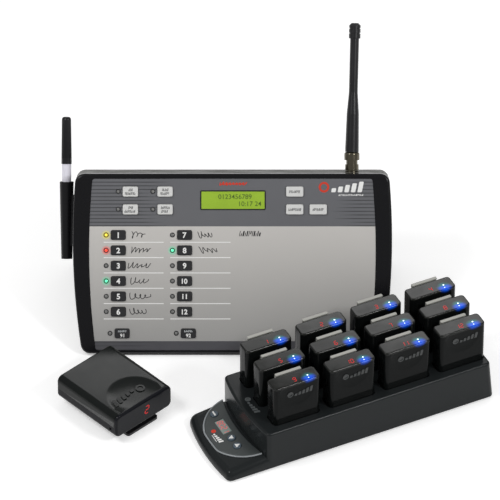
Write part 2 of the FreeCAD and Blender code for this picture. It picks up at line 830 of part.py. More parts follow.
def build_marker_holder():
    """Open cup for the pen, with a plate that fixes it to the console's left side."""
    foot = ("-holder_x", "holder_low", "-holder_back")
    cup = cone("holder_cup", foot, "holder_foot", "holder_rim", "holder_long", "y")
    plate_at = ("-holder_x", "holder_low + (holder_long - holder_plate_long) / 2",
                "-holder_back - holder_plate / 2")
    plate = block("holder_plate_block", plate_at, "holder_x - face_half_bottom", "holder_plate_long",
                  "holder_plate")
    bore_at = ("-holder_x", "holder_low + holder_wall", "-holder_back")
    bore = cone("holder_bore", bore_at, "pen_low + gap", "pen_body + 2 * gap",
                "holder_long - holder_wall", "y")
    mouth = rod("holder_mouth", ("-holder_x", "holder_low + holder_long", "-holder_back"), "holder_rim",
                "overrun", "y")
    whole = cut("holder", fuse("holder_whole", cup, plate), wedge("holder_room", -s.gap), bore, mouth)
    return keep("marker_holder", whole, console)


def build_marker():
    """Pen barrel with its neck and nib, and the ribbed cap over them."""
    foot = "holder_low + holder_wall + gap"
    parts = [
        cone("pen_barrel", ("-holder_x", foot, "-holder_back"), "pen_low", "pen_body", "pen_long", "y"),
        rod("pen_neck_rod", ("-holder_x", foot + " + pen_long", "-holder_back"), "pen_neck",
            "pen_neck_long", "y"),
        rod("pen_nib_rod", ("-holder_x", foot + " + pen_long + pen_neck_long", "-holder_back"), "pen_nib",
            "pen_nib_long", "y"),
    ]
    keep("marker_barrel", fuse("pen", *parts), console)
    start = foot + " + pen_long + gap"
    cap = cone("cap_cone", ("-holder_x", start, "-holder_back"), "cap_low_radius", "cap_top_radius",
               "cap_long", "y")
    top = s.holder_low + s.holder_wall + 2 * s.gap + s.pen_long + s.cap_long

    def at_top(edge):
        return isinstance(edge.Curve, Part.Circle) and abs(edge.BoundBox.YMin - top) < TINY

    domed = round_off("cap_domed", cap, s.cap_round, at_top)
    tools = [rod("cap_bore", ("-holder_x", start + " - overrun", "-holder_back"), "pen_neck + gap",
                 "pen_neck_long + pen_nib_long + 2 * overrun", "y")]
    for number in range(CAP_RIBS):
        turn = math.radians(number * FULL_TURN / CAP_RIBS)
        x = "-holder_x + cap_low_radius * %f" % math.cos(turn)
        z = "-holder_back + cap_low_radius * %f" % math.sin(turn)
        tools.append(rod("cap_rib_%d" % number, (x, start + " + cap_band", z), "cap_rib", "cap_long", "y"))
    return keep("marker_cap", cut("cap", domed, *tools), console)


# The charging rack, drawn in its own axes: x along it from its left end, y away from
# its front side, z up from the table.

rack = Placement(Vector(s.rack_x, s.rack_y, 0), Rotation(Vector(0, 0, 1), s.rack_turn))
nose_tilt = math.degrees(math.atan2(s.nose_high - s.nose_tip_high, s.nose_long))
panel = rack.multiply(Placement(Vector(0, 0, s.nose_high), Rotation(Vector(0, 1, 0), -nose_tilt)))
panel_in_rack = Placement(Vector(0, 0, s.nose_high), Rotation(Vector(0, 1, 0), -nose_tilt))


def rack_plan(extra):
    """The rack's plan with a bowed left end, its right end moved out by a length."""
    right = s.rack_long + extra
    low = Vector(0, 0, 0)
    high = Vector(0, s.rack_deep, 0)
    return [
        Part.LineSegment(low, Vector(right, 0, 0)),
        Part.LineSegment(Vector(right, 0, 0), Vector(right, s.rack_deep, 0)),
        Part.LineSegment(Vector(right, s.rack_deep, 0), high),
        Part.Arc(high, Vector(-s.rack_end_bow, s.rack_deep / 2, 0), low),
    ]


def nose_plan():
    """The low nose's plan, with a bowed front."""
    root = s.nose_root
    near = Vector(-s.nose_long, 0, 0)
    far = Vector(-s.nose_far_long, s.rack_deep, 0)
    middle = Vector(-(s.nose_long + s.nose_far_long) / 2 - s.nose_bow, s.rack_deep / 2, 0)
    return [
        Part.LineSegment(near, Vector(root, 0, 0)),
        Part.LineSegment(Vector(root, 0, 0), Vector(root, s.rack_deep, 0)),
        Part.LineSegment(Vector(root, s.rack_deep, 0), far),
        Part.Arc(far, middle, near),
    ]


def panel_outline(inset):
    """The control panel's plan: a rounded D beside the rack's bowed end."""
    root = s.panel_root + inset
    near = s.panel_near + inset
    far = s.panel_far - inset
    out = s.panel_out - inset
    span = far - near
    low = Vector(-root, near, 0)
    high = Vector(-root, far, 0)
    flat_low = Vector(-out, near + span * s.panel_flat_near_share, 0)
    flat_high = Vector(-out, near + span * s.panel_flat_far_share, 0)
    near_bend = Vector(-out * s.panel_near_x_share, near + span * s.panel_near_y_share, 0)
    far_bend = Vector(-out * s.panel_far_x_share, far - span * s.panel_far_y_share, 0)
    return [
        Part.Arc(low, near_bend, flat_low),
        Part.LineSegment(flat_low, flat_high),
        Part.Arc(flat_high, far_bend, high),
        Part.Arc(high, Vector(-root - s.rack_end_bow, (near + far) / 2, 0), low),
    ]


def pocket_plan(inset):
    """Plan of the round-ended pocket under the panel."""
    long = s.panel_pocket_high - s.panel_pocket_low
    middle = (s.panel_pocket_high + s.panel_pocket_low) / 2
    return soft_rectangle(-s.panel_row, middle, s.panel_pocket - 2 * inset, long - 2 * inset,
                          s.panel_pocket_corner - inset)


def wells():
    """Front left corner of each pager's place, row by row from the far side."""
    return [(s.well_left + column * s.well_pitch_x, s.well_front + row * s.well_pitch_y)
            for row in reversed(range(WELL_ROWS)) for column in range(WELL_COLUMNS)]


def rack_bosses():
    """Places of the four screw bosses."""
    inset = s.rack_wall + s.boss_radius
    return [(x, y) for x in (inset, s.rack_long - inset) for y in (inset, s.rack_deep - inset)]


def contact_places():
    """Places of the charging contacts, two under each pager."""
    middle_x = s.pager_wide / 2
    return [(x + middle_x + side * s.contact_pitch / 2, y + s.pager_thick / 2)
            for x, y in wells() for side in (-1, 1)]


def build_rack_housing():
    """Rack with twelve wells in its deck, a hollow underside and a low nose at its left end."""
    plan = prism("rack_body_plan", [rack_plan(s.rack_end_draft)], ("0", "0", "rack_foot"),
                 "rack_high - rack_foot")
    right = s.rack_long + s.rack_end_draft
    start = -s.rack_end_bow - s.overrun
    side_outline = closed([(start, s.rack_foot), (right, s.rack_foot), (s.rack_long, s.rack_high),
                           (start, s.rack_high)])
    side = prism("rack_side", [side_outline], ("0", "rack_deep", "0"), "rack_deep", "zx")
    soft = round_off("rack_body_soft", common("rack_drafted", plan, side), s.rack_corner, steep)
    body = round_off("rack_body", soft, s.rack_edge, level(s.rack_high))
    nose_block = prism("nose_block", [nose_plan()], ("0", "0", "rack_foot"), "nose_high")
    near_soft = round_off("nose_near_soft", nose_block, s.nose_near_corner,
                          lambda edge: upright(edge) and edge.BoundBox.XMax < 0 and edge.BoundBox.YMax < TINY)
    far_soft = round_off("nose_far_soft", near_soft, s.nose_far_corner,
                         lambda edge: upright(edge) and edge.BoundBox.XMax < 0
                         and edge.BoundBox.YMin > s.rack_deep - TINY)
    rise = (s.nose_high - s.nose_tip_high) / s.nose_long
    out = -s.nose_long - s.nose_bow - s.overrun
    nose_outline = closed([(out, s.rack_foot), (s.nose_root, s.rack_foot),
                           (s.nose_root, s.nose_high + s.nose_root * rise), (out, s.nose_high + out * rise)])
    nose_side = prism("nose_side", [nose_outline], ("0", "rack_deep", "0"), "rack_deep", "zx")
    nose = round_off("nose", common("nose_sloped", far_soft, nose_side), s.nose_tip_round,
                     lambda edge: edge.BoundBox.ZMin > s.rack_foot + TINY and not upright(edge)
                     and edge.BoundBox.XMin < -TINY and edge.BoundBox.XMax < s.nose_root - TINY)
    whole = fuse("rack_whole", body, nose)
    well_loops = []
    for x, y in wells():
        middle = (x + s.pager_wide / 2, y + s.pager_thick / 2)
        extent = (s.pager_wide + 2 * s.well_play, s.pager_thick + 2 * s.well_play)
        front = s.pager_front_corner + s.well_play
        rear = s.pager_back_corner + s.well_play
        well_loops.append(soft_rectangle(*middle, *extent, front, front, rear, rear))
    well_cut = prism("rack_wells", well_loops, ("0", "0", "rack_high - well_deep"), "well_deep + overrun")
    contact_loops = [disc(x, y, s.contact_radius + s.snug) for x, y in contact_places()]
    holes_at = ("0", "0", "rack_high - well_deep - 2 * well_floor")
    contact_cut = prism("rack_contact_holes", contact_loops, holes_at,
                        "3 * well_floor")
    room_at = ("rack_wall", "rack_wall", "rack_foot - overrun")
    room_tall = "rack_high - well_deep - well_floor - rack_foot + overrun"
    room = block("rack_room", room_at, "rack_long - 2 * rack_wall", "rack_deep - 2 * rack_wall", room_tall)
    socket_at = ("rack_long - rack_socket_end - socket_wide / 2 - snug", "rack_deep - rack_wall - overrun",
                 "rack_board_rise + rack_board_thick - snug")
    socket = block("rack_socket_hole", socket_at, "socket_wide + 2 * snug", "rack_wall + 2 * overrun",
                   "socket_high + 2 * snug")
    bed = prism("panel_bed_cut", [panel_outline(-s.snug)], ("0", "0", "-panel_bed"), "panel_bed + overrun")
    pocket = prism("panel_pocket_cut", [pocket_plan(0)], ("0", "0", "-panel_pocket_deep"),
                   "panel_pocket_deep")
    panel_cuts = fuse("panel_cuts", bed, pocket)
    panel_cuts.Placement = panel_in_rack
    open_rack = cut("rack_open", whole, well_cut, room, socket, panel_cuts)
    bosses = [rod("rack_boss", ("%f" % x, "%f" % y, "rack_foot + rack_plate"), "boss_radius",
                  "rack_high - well_deep - well_floor / 2 - rack_foot - rack_plate")
              for x, y in rack_bosses()]
    pilots = [rod("rack_pilot", ("%f" % x, "%f" % y, "rack_foot"), "screw_shank + thread_play",
                  "screw_long + rack_plate")
              for x, y in rack_bosses()]
    finished = cut("rack", fuse("rack_with_bosses", open_rack, *bosses), contact_cut, *pilots)
    return keep("rack_housing", finished, rack)


def build_rack_plate():
    """Plate that closes the rack from below."""
    at = ("rack_wall + snug", "rack_wall + snug", "rack_foot")
    plate = block("rack_plate_block", at, "rack_long - 2 * (rack_wall + snug)",
                  "rack_deep - 2 * (rack_wall + snug)",
                  "rack_plate")
    tools = []
    for x, y in rack_bosses():
        tools.append(rod("plate_hole", ("%f" % x, "%f" % y, "rack_foot - overrun"), "screw_shank + gap",
                         "rack_plate + 2 * overrun"))
        tools.append(rod("plate_seat", ("%f" % x, "%f" % y, "rack_foot - overrun"), "screw_head + gap",
                         "overrun + screw_head_high / 2"))
    return keep("rack_base_plate", cut("rack_plate_cut", plate, *tools), rack)


def build_rack_board():
    """Charging board with two contacts under each pager and the power socket."""
    margin = "rack_wall + 2 * boss_radius + gap"
    at = (margin, "rack_wall + gap", "rack_board_rise")
    sheet_part = block("rack_board_sheet", at, "rack_long - 2 * (%s)" % margin,
                       "rack_deep - 2 * (rack_wall + gap)", "rack_board_thick")
    loops = [disc(x, y, s.contact_radius) for x, y in contact_places()]
    pins = prism("rack_contacts", loops, ("0", "0", "rack_board_rise + rack_board_thick"),
                 "rack_high - well_deep + contact_stand - rack_board_rise - rack_board_thick")
    socket_at = ("rack_long - rack_socket_end - socket_wide / 2", "rack_deep - socket_deep",
                 "rack_board_rise + rack_board_thick")
    body = block("rack_socket_body", socket_at, "socket_wide", "socket_deep", "socket_high")
    bore_at = ("rack_long - rack_socket_end", "rack_deep - socket_bore_deep",
               "rack_board_rise + rack_board_thick + socket_high / 2")
    bore = rod("rack_socket_bore", bore_at, "socket_bore", "socket_bore_deep + overrun", "y")
    whole = group("rack_board_parts", sheet_part, pins, cut("rack_socket", body, bore))
    return keep("rack_board", whole, rack)


def build_panel():
    """Control panel on the nose, with a window and three round holes."""
    plate = prism("panel_plate", [panel_outline(0)], ("0", "0", "-panel_bed"), "panel_bed + panel_proud")
    soft = round_off("panel_soft", plate, s.panel_edge, level(s.panel_proud))
    window_at = ("-panel_row - readout_wide / 2", "readout_y - readout_long / 2", "-panel_bed - overrun")
    window = block("panel_window", window_at, "readout_wide", "readout_long",
                   "panel_bed + panel_proud + 2 * overrun")
    holes = prism("panel_holes", [disc(-s.panel_row, y, s.round_key + s.gap) for y in round_key_places()],
                  ("0", "0", "-panel_bed - overrun"), "panel_bed + panel_proud + 2 * overrun")
    bosses = []
    for end in ("panel_pocket_low + panel_post + gap", "panel_post_y"):
        bosses.append(rod("panel_post_rod", ("-panel_row", end, "-readout_board_deep"), "panel_post",
                          "readout_board_deep - panel_bed / 2"))
    return keep("rack_panel", cut("panel", fuse("panel_whole", soft, *bosses), window, holes), panel)


def round_key_places():
    """Places of the panel's round keys along its row."""
    return [s.dash_key_y, s.up_key_y, s.down_key_y]


def build_readout():
    """Four-digit display on its small board under the panel."""
    board = prism("readout_board", [pocket_plan(s.gap)], ("0", "0", "-readout_board_deep - rack_board_thick"),
                  "rack_board_thick")
    at = ("-panel_row - readout_wide / 2 + snug", "readout_y - readout_long / 2 + snug",
          "-readout_board_deep")
    lamp = block("readout_block", at, "readout_wide - 2 * snug", "readout_long - 2 * snug",
                 "readout_board_deep + panel_proud - readout_sunk")
    return keep("rack_display", group("readout", board, lamp), panel)


def build_round_key(label, along):
    """Round key with a flange that holds it under the panel."""
    flange = rod(label + "_flange", ("0", "0", "-panel_bed - gap - round_key_flange_thick"),
                 "round_key + round_key_flange", "round_key_flange_thick")
    top = s.panel_proud + s.round_key_lift
    cap = rod(label + "_cap", ("0", "0", "-panel_bed - gap - round_key_flange_thick"), "round_key",
              "panel_bed + gap + round_key_flange_thick + panel_proud + round_key_lift")
    soft = round_off(label + "_soft", cap, s.key_edge, level(top))
    place = panel.multiply(Placement(Vector(-s.panel_row, along, 0), Rotation()))
    return keep(label, fuse(label + "_whole", flange, soft), place)


# A pager, drawn standing: x across, y from its front to its back, z up to its lens.
# The factor is a size name or 1, so that the lying one is the same design drawn larger.


def pager_pieces(name, factor):
    """The shells, lens, clip and board of one pager."""
    times = 1 if factor == "1" else getattr(s, factor)

    def sized(text):
        return "(%s) * %s" % (text, factor)

    def place(*texts):
        return tuple(sized(text) for text in texts)

    def shell_plan(inset):
        wide = (s.pager_wide - 2 * inset) * times
        thick = (s.pager_thick - 2 * inset) * times
        front = (s.pager_front_corner - inset) * times
        rear = (s.pager_back_corner - inset) * times
        return soft_rectangle(0, s.pager_thick * times / 2, wide, thick, front, front, rear, rear)

    outer = prism(name + "_form", [shell_plan(0)], ("0", "0", "0"), sized("pager_high"))
    ends = (0, s.pager_high * times)
    soft = round_off(name + "_soft", outer, s.pager_edge * times,
                     lambda edge: any(level(end)(edge) for end in ends))
    room = prism(name + "_room", [shell_plan(s.pager_wall)], ("0", "0", sized("pager_wall")),
                 sized("pager_high - 2 * pager_wall"))
    hollow = cut(name + "_hollow", soft, room)
    left = "-pager_wide / 2 - overrun"
    wide = sized("pager_wide + 2 * overrun")
    body_high = sized("pager_high - pager_lens + overrun")
    front_half = block(name + "_front_half", place(left, "-overrun", "-overrun"), wide,
                       sized("pager_split + overrun"), body_high)
    rear_half = block(name + "_rear_half", place(left, "pager_split", "-overrun"), wide,
                      sized("pager_thick - pager_split + overrun"), body_high)
    top_part = block(name + "_top_part", place(left, "-overrun", "pager_high - pager_lens"), wide,
                     sized("pager_thick + 2 * overrun"), sized("pager_lens + overrun"))
    dish = rod(name + "_dish", place("0", "-overrun", "dish_rise"), sized("dish_radius"),
               sized("overrun + dish_deep"), "y")
    front = cut(name + "_front", common(name + "_front_shape", hollow, front_half), dish)
    lens = common(name + "_lens_shape", hollow, top_part)
    pivot_y = "pager_thick + clip_knuckle + gap"
    pivot_z = "pager_high - clip_pivot"
    lugs = []
    notches = []
    for side in (-1, 1):
        inner = "clip_knuckle_long / 2 + gap"
        low_x = inner if side > 0 else "-%s - lug_thick" % inner.replace("+", "-")
        lug_at = (low_x, "pager_thick - pager_wall / 2", pivot_z + " - lug_thick")
        lugs.append(block(name + "_lug", place(*lug_at), sized("lug_thick"),
                          sized("pager_wall / 2 + clip_knuckle + gap + clip_pin + lug_edge"),
                          sized("2 * lug_thick")))
        notch_at = (low_x + " - lug_play", "pager_thick", pivot_z + " - lug_thick - lug_play")
        notches.append(block(name + "_notch", place(*notch_at), sized("lug_thick + 2 * lug_play"),
                             sized("clip_gap + clip_thick + overrun"), sized("2 * (lug_thick + lug_play)")))
    pin = rod(name + "_pin", place("-clip_knuckle_long / 2 - gap - lug_thick / 2", pivot_y, pivot_z),
              sized("clip_pin"), sized("clip_knuckle_long + 2 * gap + lug_thick"), "x")
    slot_at = ("pager_wide / 2 - pager_wall - overrun", "slot_back - pager_slot / 2",
               "slot_rise - pager_slot / 2")
    slot = block(name + "_slot", place(*slot_at), sized("pager_wall + 2 * overrun"), sized("pager_slot"),
                 sized("pager_slot"))
    rear_whole = fuse(name + "_rear_whole", common(name + "_rear_shape", hollow, rear_half), *lugs, pin)
    rear = cut(name + "_rear", rear_whole, slot)
    plate_at = ("-clip_wide / 2", "pager_thick + clip_gap", "pager_high - clip_top - clip_long")
    plate = block(name + "_clip_plate", place(*plate_at), sized("clip_wide"), sized("clip_thick"),
                  sized("clip_long"))
    plate_soft = round_off(name + "_clip_soft", plate, s.clip_corner * times,
                           lambda edge: isinstance(edge.Curve, Part.Line)
                           and abs(edge.Curve.Direction.y) > 1 - TINY)
    knuckle = rod(name + "_knuckle", place("-clip_knuckle_long / 2", pivot_y, pivot_z), sized("clip_knuckle"),
                  sized("clip_knuckle_long"), "x")
    eye = rod(name + "_eye", place("-clip_wide", pivot_y, pivot_z), sized("clip_pin + gap"),
              sized("2 * clip_wide"), "x")
    clip = cut(name + "_clip", fuse(name + "_clip_whole", plate_soft, knuckle), eye, *notches)
    board_at = ("-pager_wide / 2 + pager_back_corner", "pager_split", "pager_wall + pager_back_corner")
    board = block(name + "_board_sheet", place(*board_at), sized("pager_wide - 2 * pager_back_corner"),
                  sized("pager_thick - pager_split - pager_wall"),
                  sized("pager_high - pager_lens - pager_back_corner - 2 * pager_wall"))
    return front, rear, lens, clip, group(name + "_board_solid", board)


def build_docked_pagers():
    """Twelve pagers standing on their contacts in the wells, all of one design."""
    design = group("pager_design", *pager_pieces("pager", "1"))
    rise = s.rack_high - s.well_deep + s.contact_stand
    for number, (x, y) in enumerate(wells(), start=1):
        place = rack.multiply(Placement(Vector(x + s.pager_wide / 2, y, rise), Rotation()))
        keep("docked_pager_%02d" % number, group("pager_%02d" % number, design), place)


def build_sample_pager():
    """The larger pager, lying on its belt clip with its lens towards the front."""
    pieces = pager_pieces("sample", "sample_factor")
    turn = Rotation(Vector(0, 0, 1), s.sample_turn + FULL_TURN / 2)
    lying = turn.multiply(Rotation(Vector(1, 0, 0), -FULL_TURN / 4))
    middle = Vector(0, s.pager_thick + s.clip_gap + s.clip_thick, s.pager_high / 2) * s.sample_factor
    corner = Vector(s.sample_x, s.sample_y, 0) - lying.multVec(middle)
    place = Placement(corner, lying)
    labels = ("sample_front_shell", "sample_rear_shell", "sample_lens", "sample_belt_clip", "sample_board")
    for label, piece in zip(labels, pieces):
        keep(label, piece, place)


def build_feet():
    """Rubber strip and pads under the console, and pads under the rack."""
    solids = [block("console_strip", ("-foot_long / 2", "-foot_deep / 2", "0"), "foot_long", "foot_deep",
                    "foot_high")]
    for side in (-1, 1):
        pad_at = ("%d * foot_long / 2 - foot_pad / 2" % side, "%f - foot_inset - 2 * foot_pad" % back, "0")
        solids.append(block("console_pad", pad_at, "foot_pad", "foot_pad", "foot_high"))
    for x, y in rack_feet():
        solids.append(rod("rack_pad", ("%f" % x, "%f" % y, "0"), "foot_pad / 2", "rack_foot"))
    return keep("rubber_feet", group("feet", *solids))


def rack_feet():
    """Places of the rack's pads on the table."""
    inset = s.foot_pad + s.rack_wall + 2 * s.boss_radius
    corners = [(x, y) for x in (inset, s.rack_long - inset) for y in (inset, s.rack_deep - inset)]
    corners.append((-s.nose_long / 2, s.rack_deep / 2))
    places = [rack.multVec(Vector(x, y, 0)) for x, y in corners]
    return [(place.x, place.y) for place in places]


def build_screws():
    """Screws that hold the console's shell to its frame and the rack's plate to its housing."""
    places = [Vector(side * s.screw_x, s.screw_y, s.foot_high) for side in (-1, 1)]
    places += [rack.multVec(Vector(x, y, s.rack_foot)) for x, y in rack_bosses()]
    solids = []
    for place in places:
        head_at = ("%f" % place.x, "%f" % place.y, "%f - screw_head_high / 2" % place.z)
        head = rod("screw_head_disc", head_at, "screw_head", "screw_head_high")
        shank = rod("screw_shank_rod", head_at, "screw_shank", "screw_long")
        solids.append(fuse("screw", head, shank))
    return keep("case_screws", group("screws", *solids))


build_rear_shell()
build_bezel()
build_overlay()
for number, (x, y, wide, _) in enumerate(header_keys(), start=1):
    build_key("header_key_%d" % number, x, y, wide, s.header_key_high, "header_key_lift")
for x, y, label in number_keys():
    build_key(label, x, y, s.number_key_wide, s.number_key_high, "number_key_lift")
build_display()
build_main_board()
build_lamps()
build_antenna_jack()
build_antenna_nut()
build_whip()
build_marker_holder()
build_marker()
build_rack_housing()
build_rack_plate()
build_rack_board()
build_panel()
build_readout()
for label, along in zip(("round_key_dash", "round_key_up", "round_key_down"), round_key_places()):
    build_round_key(label, along)
build_docked_pagers()
build_sample_pager()
build_feet()
build_screws()
doc.recompute()

broken = [thing.Name for thing in doc.Objects if {"Invalid", "Error"} & set(thing.State)]
if broken:
    raise SystemExit("failed objects: " + ", ".join(broken))
for piece in sub_parts:
    if piece.Shape.isNull() or not piece.Shape.isValid():
        raise SystemExit("bad shape: " + piece.Label)
os.makedirs("parts", exist_ok=True)
for piece in sub_parts:
    piece.Shape.exportStep("parts/%s.step" % piece.Label)
print("%d sub-parts, %d solids" % (len(sub_parts), sum(len(piece.Shape.Solids) for piece in sub_parts)))
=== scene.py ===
"""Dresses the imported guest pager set: call console, charging rack, twelve docked pagers, a loose one.

Lengths are in metres in the model's own frame. Each sub-assembly is a class that holds its sizes
and builds and dresses its pieces, and each finish is a small frozen class that makes a material.
"""

import logging
import math
from collections.abc import Callable, Iterable, Iterator, Sequence
from contextlib import contextmanager
from dataclasses import dataclass
from enum import Enum

import bmesh
import bpy
from mathutils import Matrix, Vector


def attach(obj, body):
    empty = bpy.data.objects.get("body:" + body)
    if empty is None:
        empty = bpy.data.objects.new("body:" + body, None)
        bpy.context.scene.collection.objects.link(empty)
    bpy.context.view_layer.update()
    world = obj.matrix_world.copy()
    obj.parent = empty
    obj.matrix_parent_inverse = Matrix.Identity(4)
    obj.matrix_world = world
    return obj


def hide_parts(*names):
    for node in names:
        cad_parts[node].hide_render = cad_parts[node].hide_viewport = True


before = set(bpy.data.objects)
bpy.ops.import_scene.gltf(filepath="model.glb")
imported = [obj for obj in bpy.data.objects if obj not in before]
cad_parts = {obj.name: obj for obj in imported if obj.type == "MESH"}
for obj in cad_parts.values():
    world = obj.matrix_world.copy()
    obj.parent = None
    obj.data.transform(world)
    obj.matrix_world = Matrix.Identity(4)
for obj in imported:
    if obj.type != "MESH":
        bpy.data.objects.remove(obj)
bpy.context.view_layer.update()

log = logging.getLogger("pager_set")

Colour = tuple[float, float, float]
Point = tuple[float, float, float]
FaceTest = Callable[[bmesh.types.BMFace], bool]
EdgeTest = Callable[[bmesh.types.BMEdge], bool]

MM = 0.001
HAIR = 1e-6
SMOOTH_ANGLE = math.radians(32)
BODY = "pager_set"

# how far print stands up, and how deep it sits in its ground
FILM = 0.00012
BITE = 0.00002


def at(x: float, y: float, z: float) -> Matrix:
    """A move by x, y and z."""
    return Matrix.Translation((x, y, z))


def about(axis: str, degrees: float) -> Matrix:
    """A turn about an axis."""
    return Matrix.Rotation(math.radians(degrees), 4, axis)


# frames of the console's sloping face, of the rack, and of the panel on the rack's nose
FACE = at(0, -8 * MM, 5.294 * MM) @ about("X", 55)
RACK = at(36 * MM, -180 * MM, 0) @ about("Z", 26)
PANEL = RACK @ at(0, 0, 16.7 * MM) @ about("Y", -7.2)


def tone(red: int, green: int, blue: int) -> Colour:
    """Linear colour of a display colour given in steps of 0 to 255."""
    shares = (red / 255, green / 255, blue / 255)
    return tuple(c / 12.92 if c <= 0.04045 else ((c + 0.055) / 1.055) ** 2.4 for c in shares)


def deeper(colour: Colour, share: float = 1.0) -> Colour:
    """A colour times a share, as four numbers for a socket."""
    return (*(min(1.0, part * share) for part in colour), 1.0)


class Recipe:
    """A material whose nodes are being wired, with one Principled surface."""

    def __init__(self, name: str) -> None:
        """Starts an empty tree that reads Object coordinates.

        Args:
            name: name of the material.
        """
        self.material = bpy.data.materials.new(name)
        self.material.use_nodes = True
        self.tree = self.material.node_tree
        self.tree.nodes.clear()
        self.surface = self.node("ShaderNodeBsdfPrincipled")
        end = self.node("ShaderNodeOutputMaterial")
        self.tree.links.new(self.surface.outputs["BSDF"], end.inputs["Surface"])
        self.place = self.node("ShaderNodeTexCoord").outputs["Object"]

    def node(self, kind: str, **settings: object) -> bpy.types.ShaderNode:
        """Adds a node of a kind with its settings.

        Args:
            kind: the node's type.
            settings: properties to set on it.

        Returns:
            The node.
        """
        made = self.tree.nodes.new(kind)
        for name, value in settings.items():
            setattr(made, name, value)
        return made

    def feed(self, socket: bpy.types.NodeSocket, value: object) -> None:
        """Links a socket to an output, or sets it to a number or colour.

        Args:
            socket: the input to fill.
            value: an output, a number or a colour.
        """
        if isinstance(value, bpy.types.NodeSocket):
            self.tree.links.new(value, socket)
        else:
            socket.default_value = value

    def math(self, operation: str, *values: object, clamp: bool = False) -> bpy.types.NodeSocket:
        """Result of a Math node on outputs or numbers.

        Args:
            operation: what the node does.
            values: its inputs.
            clamp: whether the result is held between 0 and 1.

        Returns:
            The result's output.
        """
        made = self.node("ShaderNodeMath", operation=operation, use_clamp=clamp)
        for socket, value in zip(made.inputs, values):
            self.feed(socket, value)
        return made.outputs["Value"]

    def noise(self, scale: float, detail: float = 2.0, place: object = None) -> bpy.types.NodeSocket:
        """Cloudy noise from 0 to 1 with so many lumps a metre.

        Args:
            scale: lumps a metre.
            detail: levels of finer noise.
            place: coordinates, where they aren't the Object ones.

        Returns:
            An output from 0 to 1.
        """
        made = self.node("ShaderNodeTexNoise")
        self.feed(made.inputs["Vector"], place or self.place)
        made.inputs["Scale"].default_value = scale
        made.inputs["Detail"].default_value = detail
        return made.outputs["Fac"]

    def spread(self, value: bpy.types.NodeSocket, low: float, high: float,
               start: float = 0.0, end: float = 1.0, smooth: bool = False) -> bpy.types.NodeSocket:
        """Maps start..end of a value onto low..high, held at both ends.

        Args:
            value: the output to map.
            low: result at the start.
            high: result at the end.
            start: value that gives low.
            end: value that gives high.
            smooth: whether the way between is eased.

        Returns:
            The mapped output.
        """
        made = self.node("ShaderNodeMapRange", clamp=True)
        made.interpolation_type = "SMOOTHSTEP" if smooth else "LINEAR"
        for name, number in (("From Min", start), ("From Max", end), ("To Min", low), ("To Max", high)):
            made.inputs[name].default_value = number
        self.feed(made.inputs["Value"], value)
        return made.outputs["Result"]

    def mix(self, share: object, first: object, second: object) -> bpy.types.NodeSocket:
        """Colour between two colours by a share.

        Args:
            share: how much of the second colour.
            first: colour at 0.
            second: colour at 1.

        Returns:
            The mixed colour.
        """
        made = self.node("ShaderNodeMix", data_type="RGBA")
        self.feed(made.inputs[0], share)
        self.feed(made.inputs[6], first)
        self.feed(made.inputs[7], second)
        return made.outputs[2]

    def framed(self, place: Matrix) -> tuple[bpy.types.NodeSocket, ...]:
        """Coordinates x, y, z read in a frame of the model, in millimetres.

        Args:
            place: the frame.

        Returns:
            Outputs for x, y and z.
        """
        made = self.node("ShaderNodeMapping", vector_type="TEXTURE")
        self.feed(made.inputs["Vector"], self.place)
        made.inputs["Location"].default_value = tuple(place.translation)
        made.inputs["Rotation"].default_value = tuple(place.to_euler("XYZ"))
        made.inputs["Scale"].default_value = (MM, MM, MM)
        parts = self.node("ShaderNodeSeparateXYZ")
        self.feed(parts.inputs["Vector"], made.outputs["Vector"])
        return tuple(parts.outputs)

    def distance(self, across: object, up: object) -> bpy.types.NodeSocket:
        """How far a point lies from zero, by its two coordinates."""
        squares = [self.math("MULTIPLY", way, way) for way in (across, up)]
        return self.math("SQRT", self.math("ADD", *squares))

    def ruled(self, rows: object, share: float) -> bpy.types.NodeSocket:
        """1 on the lines of a ruling and 0 between them, by a count of rows."""
        return self.math("LESS_THAN", self.math("FRACT", rows), share)

    def stretched(self, scale: Point, rotation: Point = (0, 0, 0)) -> bpy.types.NodeSocket:
        """Object coordinates turned and stretched, for grain that runs one way.

        Args:
            scale: lumps a metre along each axis.
            rotation: turn of the grain in radians.

        Returns:
            The coordinates.
        """
        made = self.node("ShaderNodeMapping", vector_type="POINT")
        self.feed(made.inputs["Vector"], self.place)
        made.inputs["Rotation"].default_value = rotation
        made.inputs["Scale"].default_value = scale
        return made.outputs["Vector"]

    def relief(self, height: bpy.types.NodeSocket, strength: float, depth: float) -> None:
        """Raises the surface by a height.

        Args:
            height: an output from 0 to 1.
            strength: strength of the relief.
            depth: its height in metres.
        """
        made = self.node("ShaderNodeBump")
        made.inputs["Strength"].default_value = strength
        made.inputs["Distance"].default_value = depth
        self.feed(made.inputs["Height"], height)
        self.feed(self.surface.inputs["Normal"], made.outputs["Normal"])

    def sockets(self, **values: object) -> None:
        """Sets or links sockets of the surface; underscores stand for spaces."""
        for name, value in values.items():
            self.feed(self.surface.inputs[name.replace("_", " ")], value)


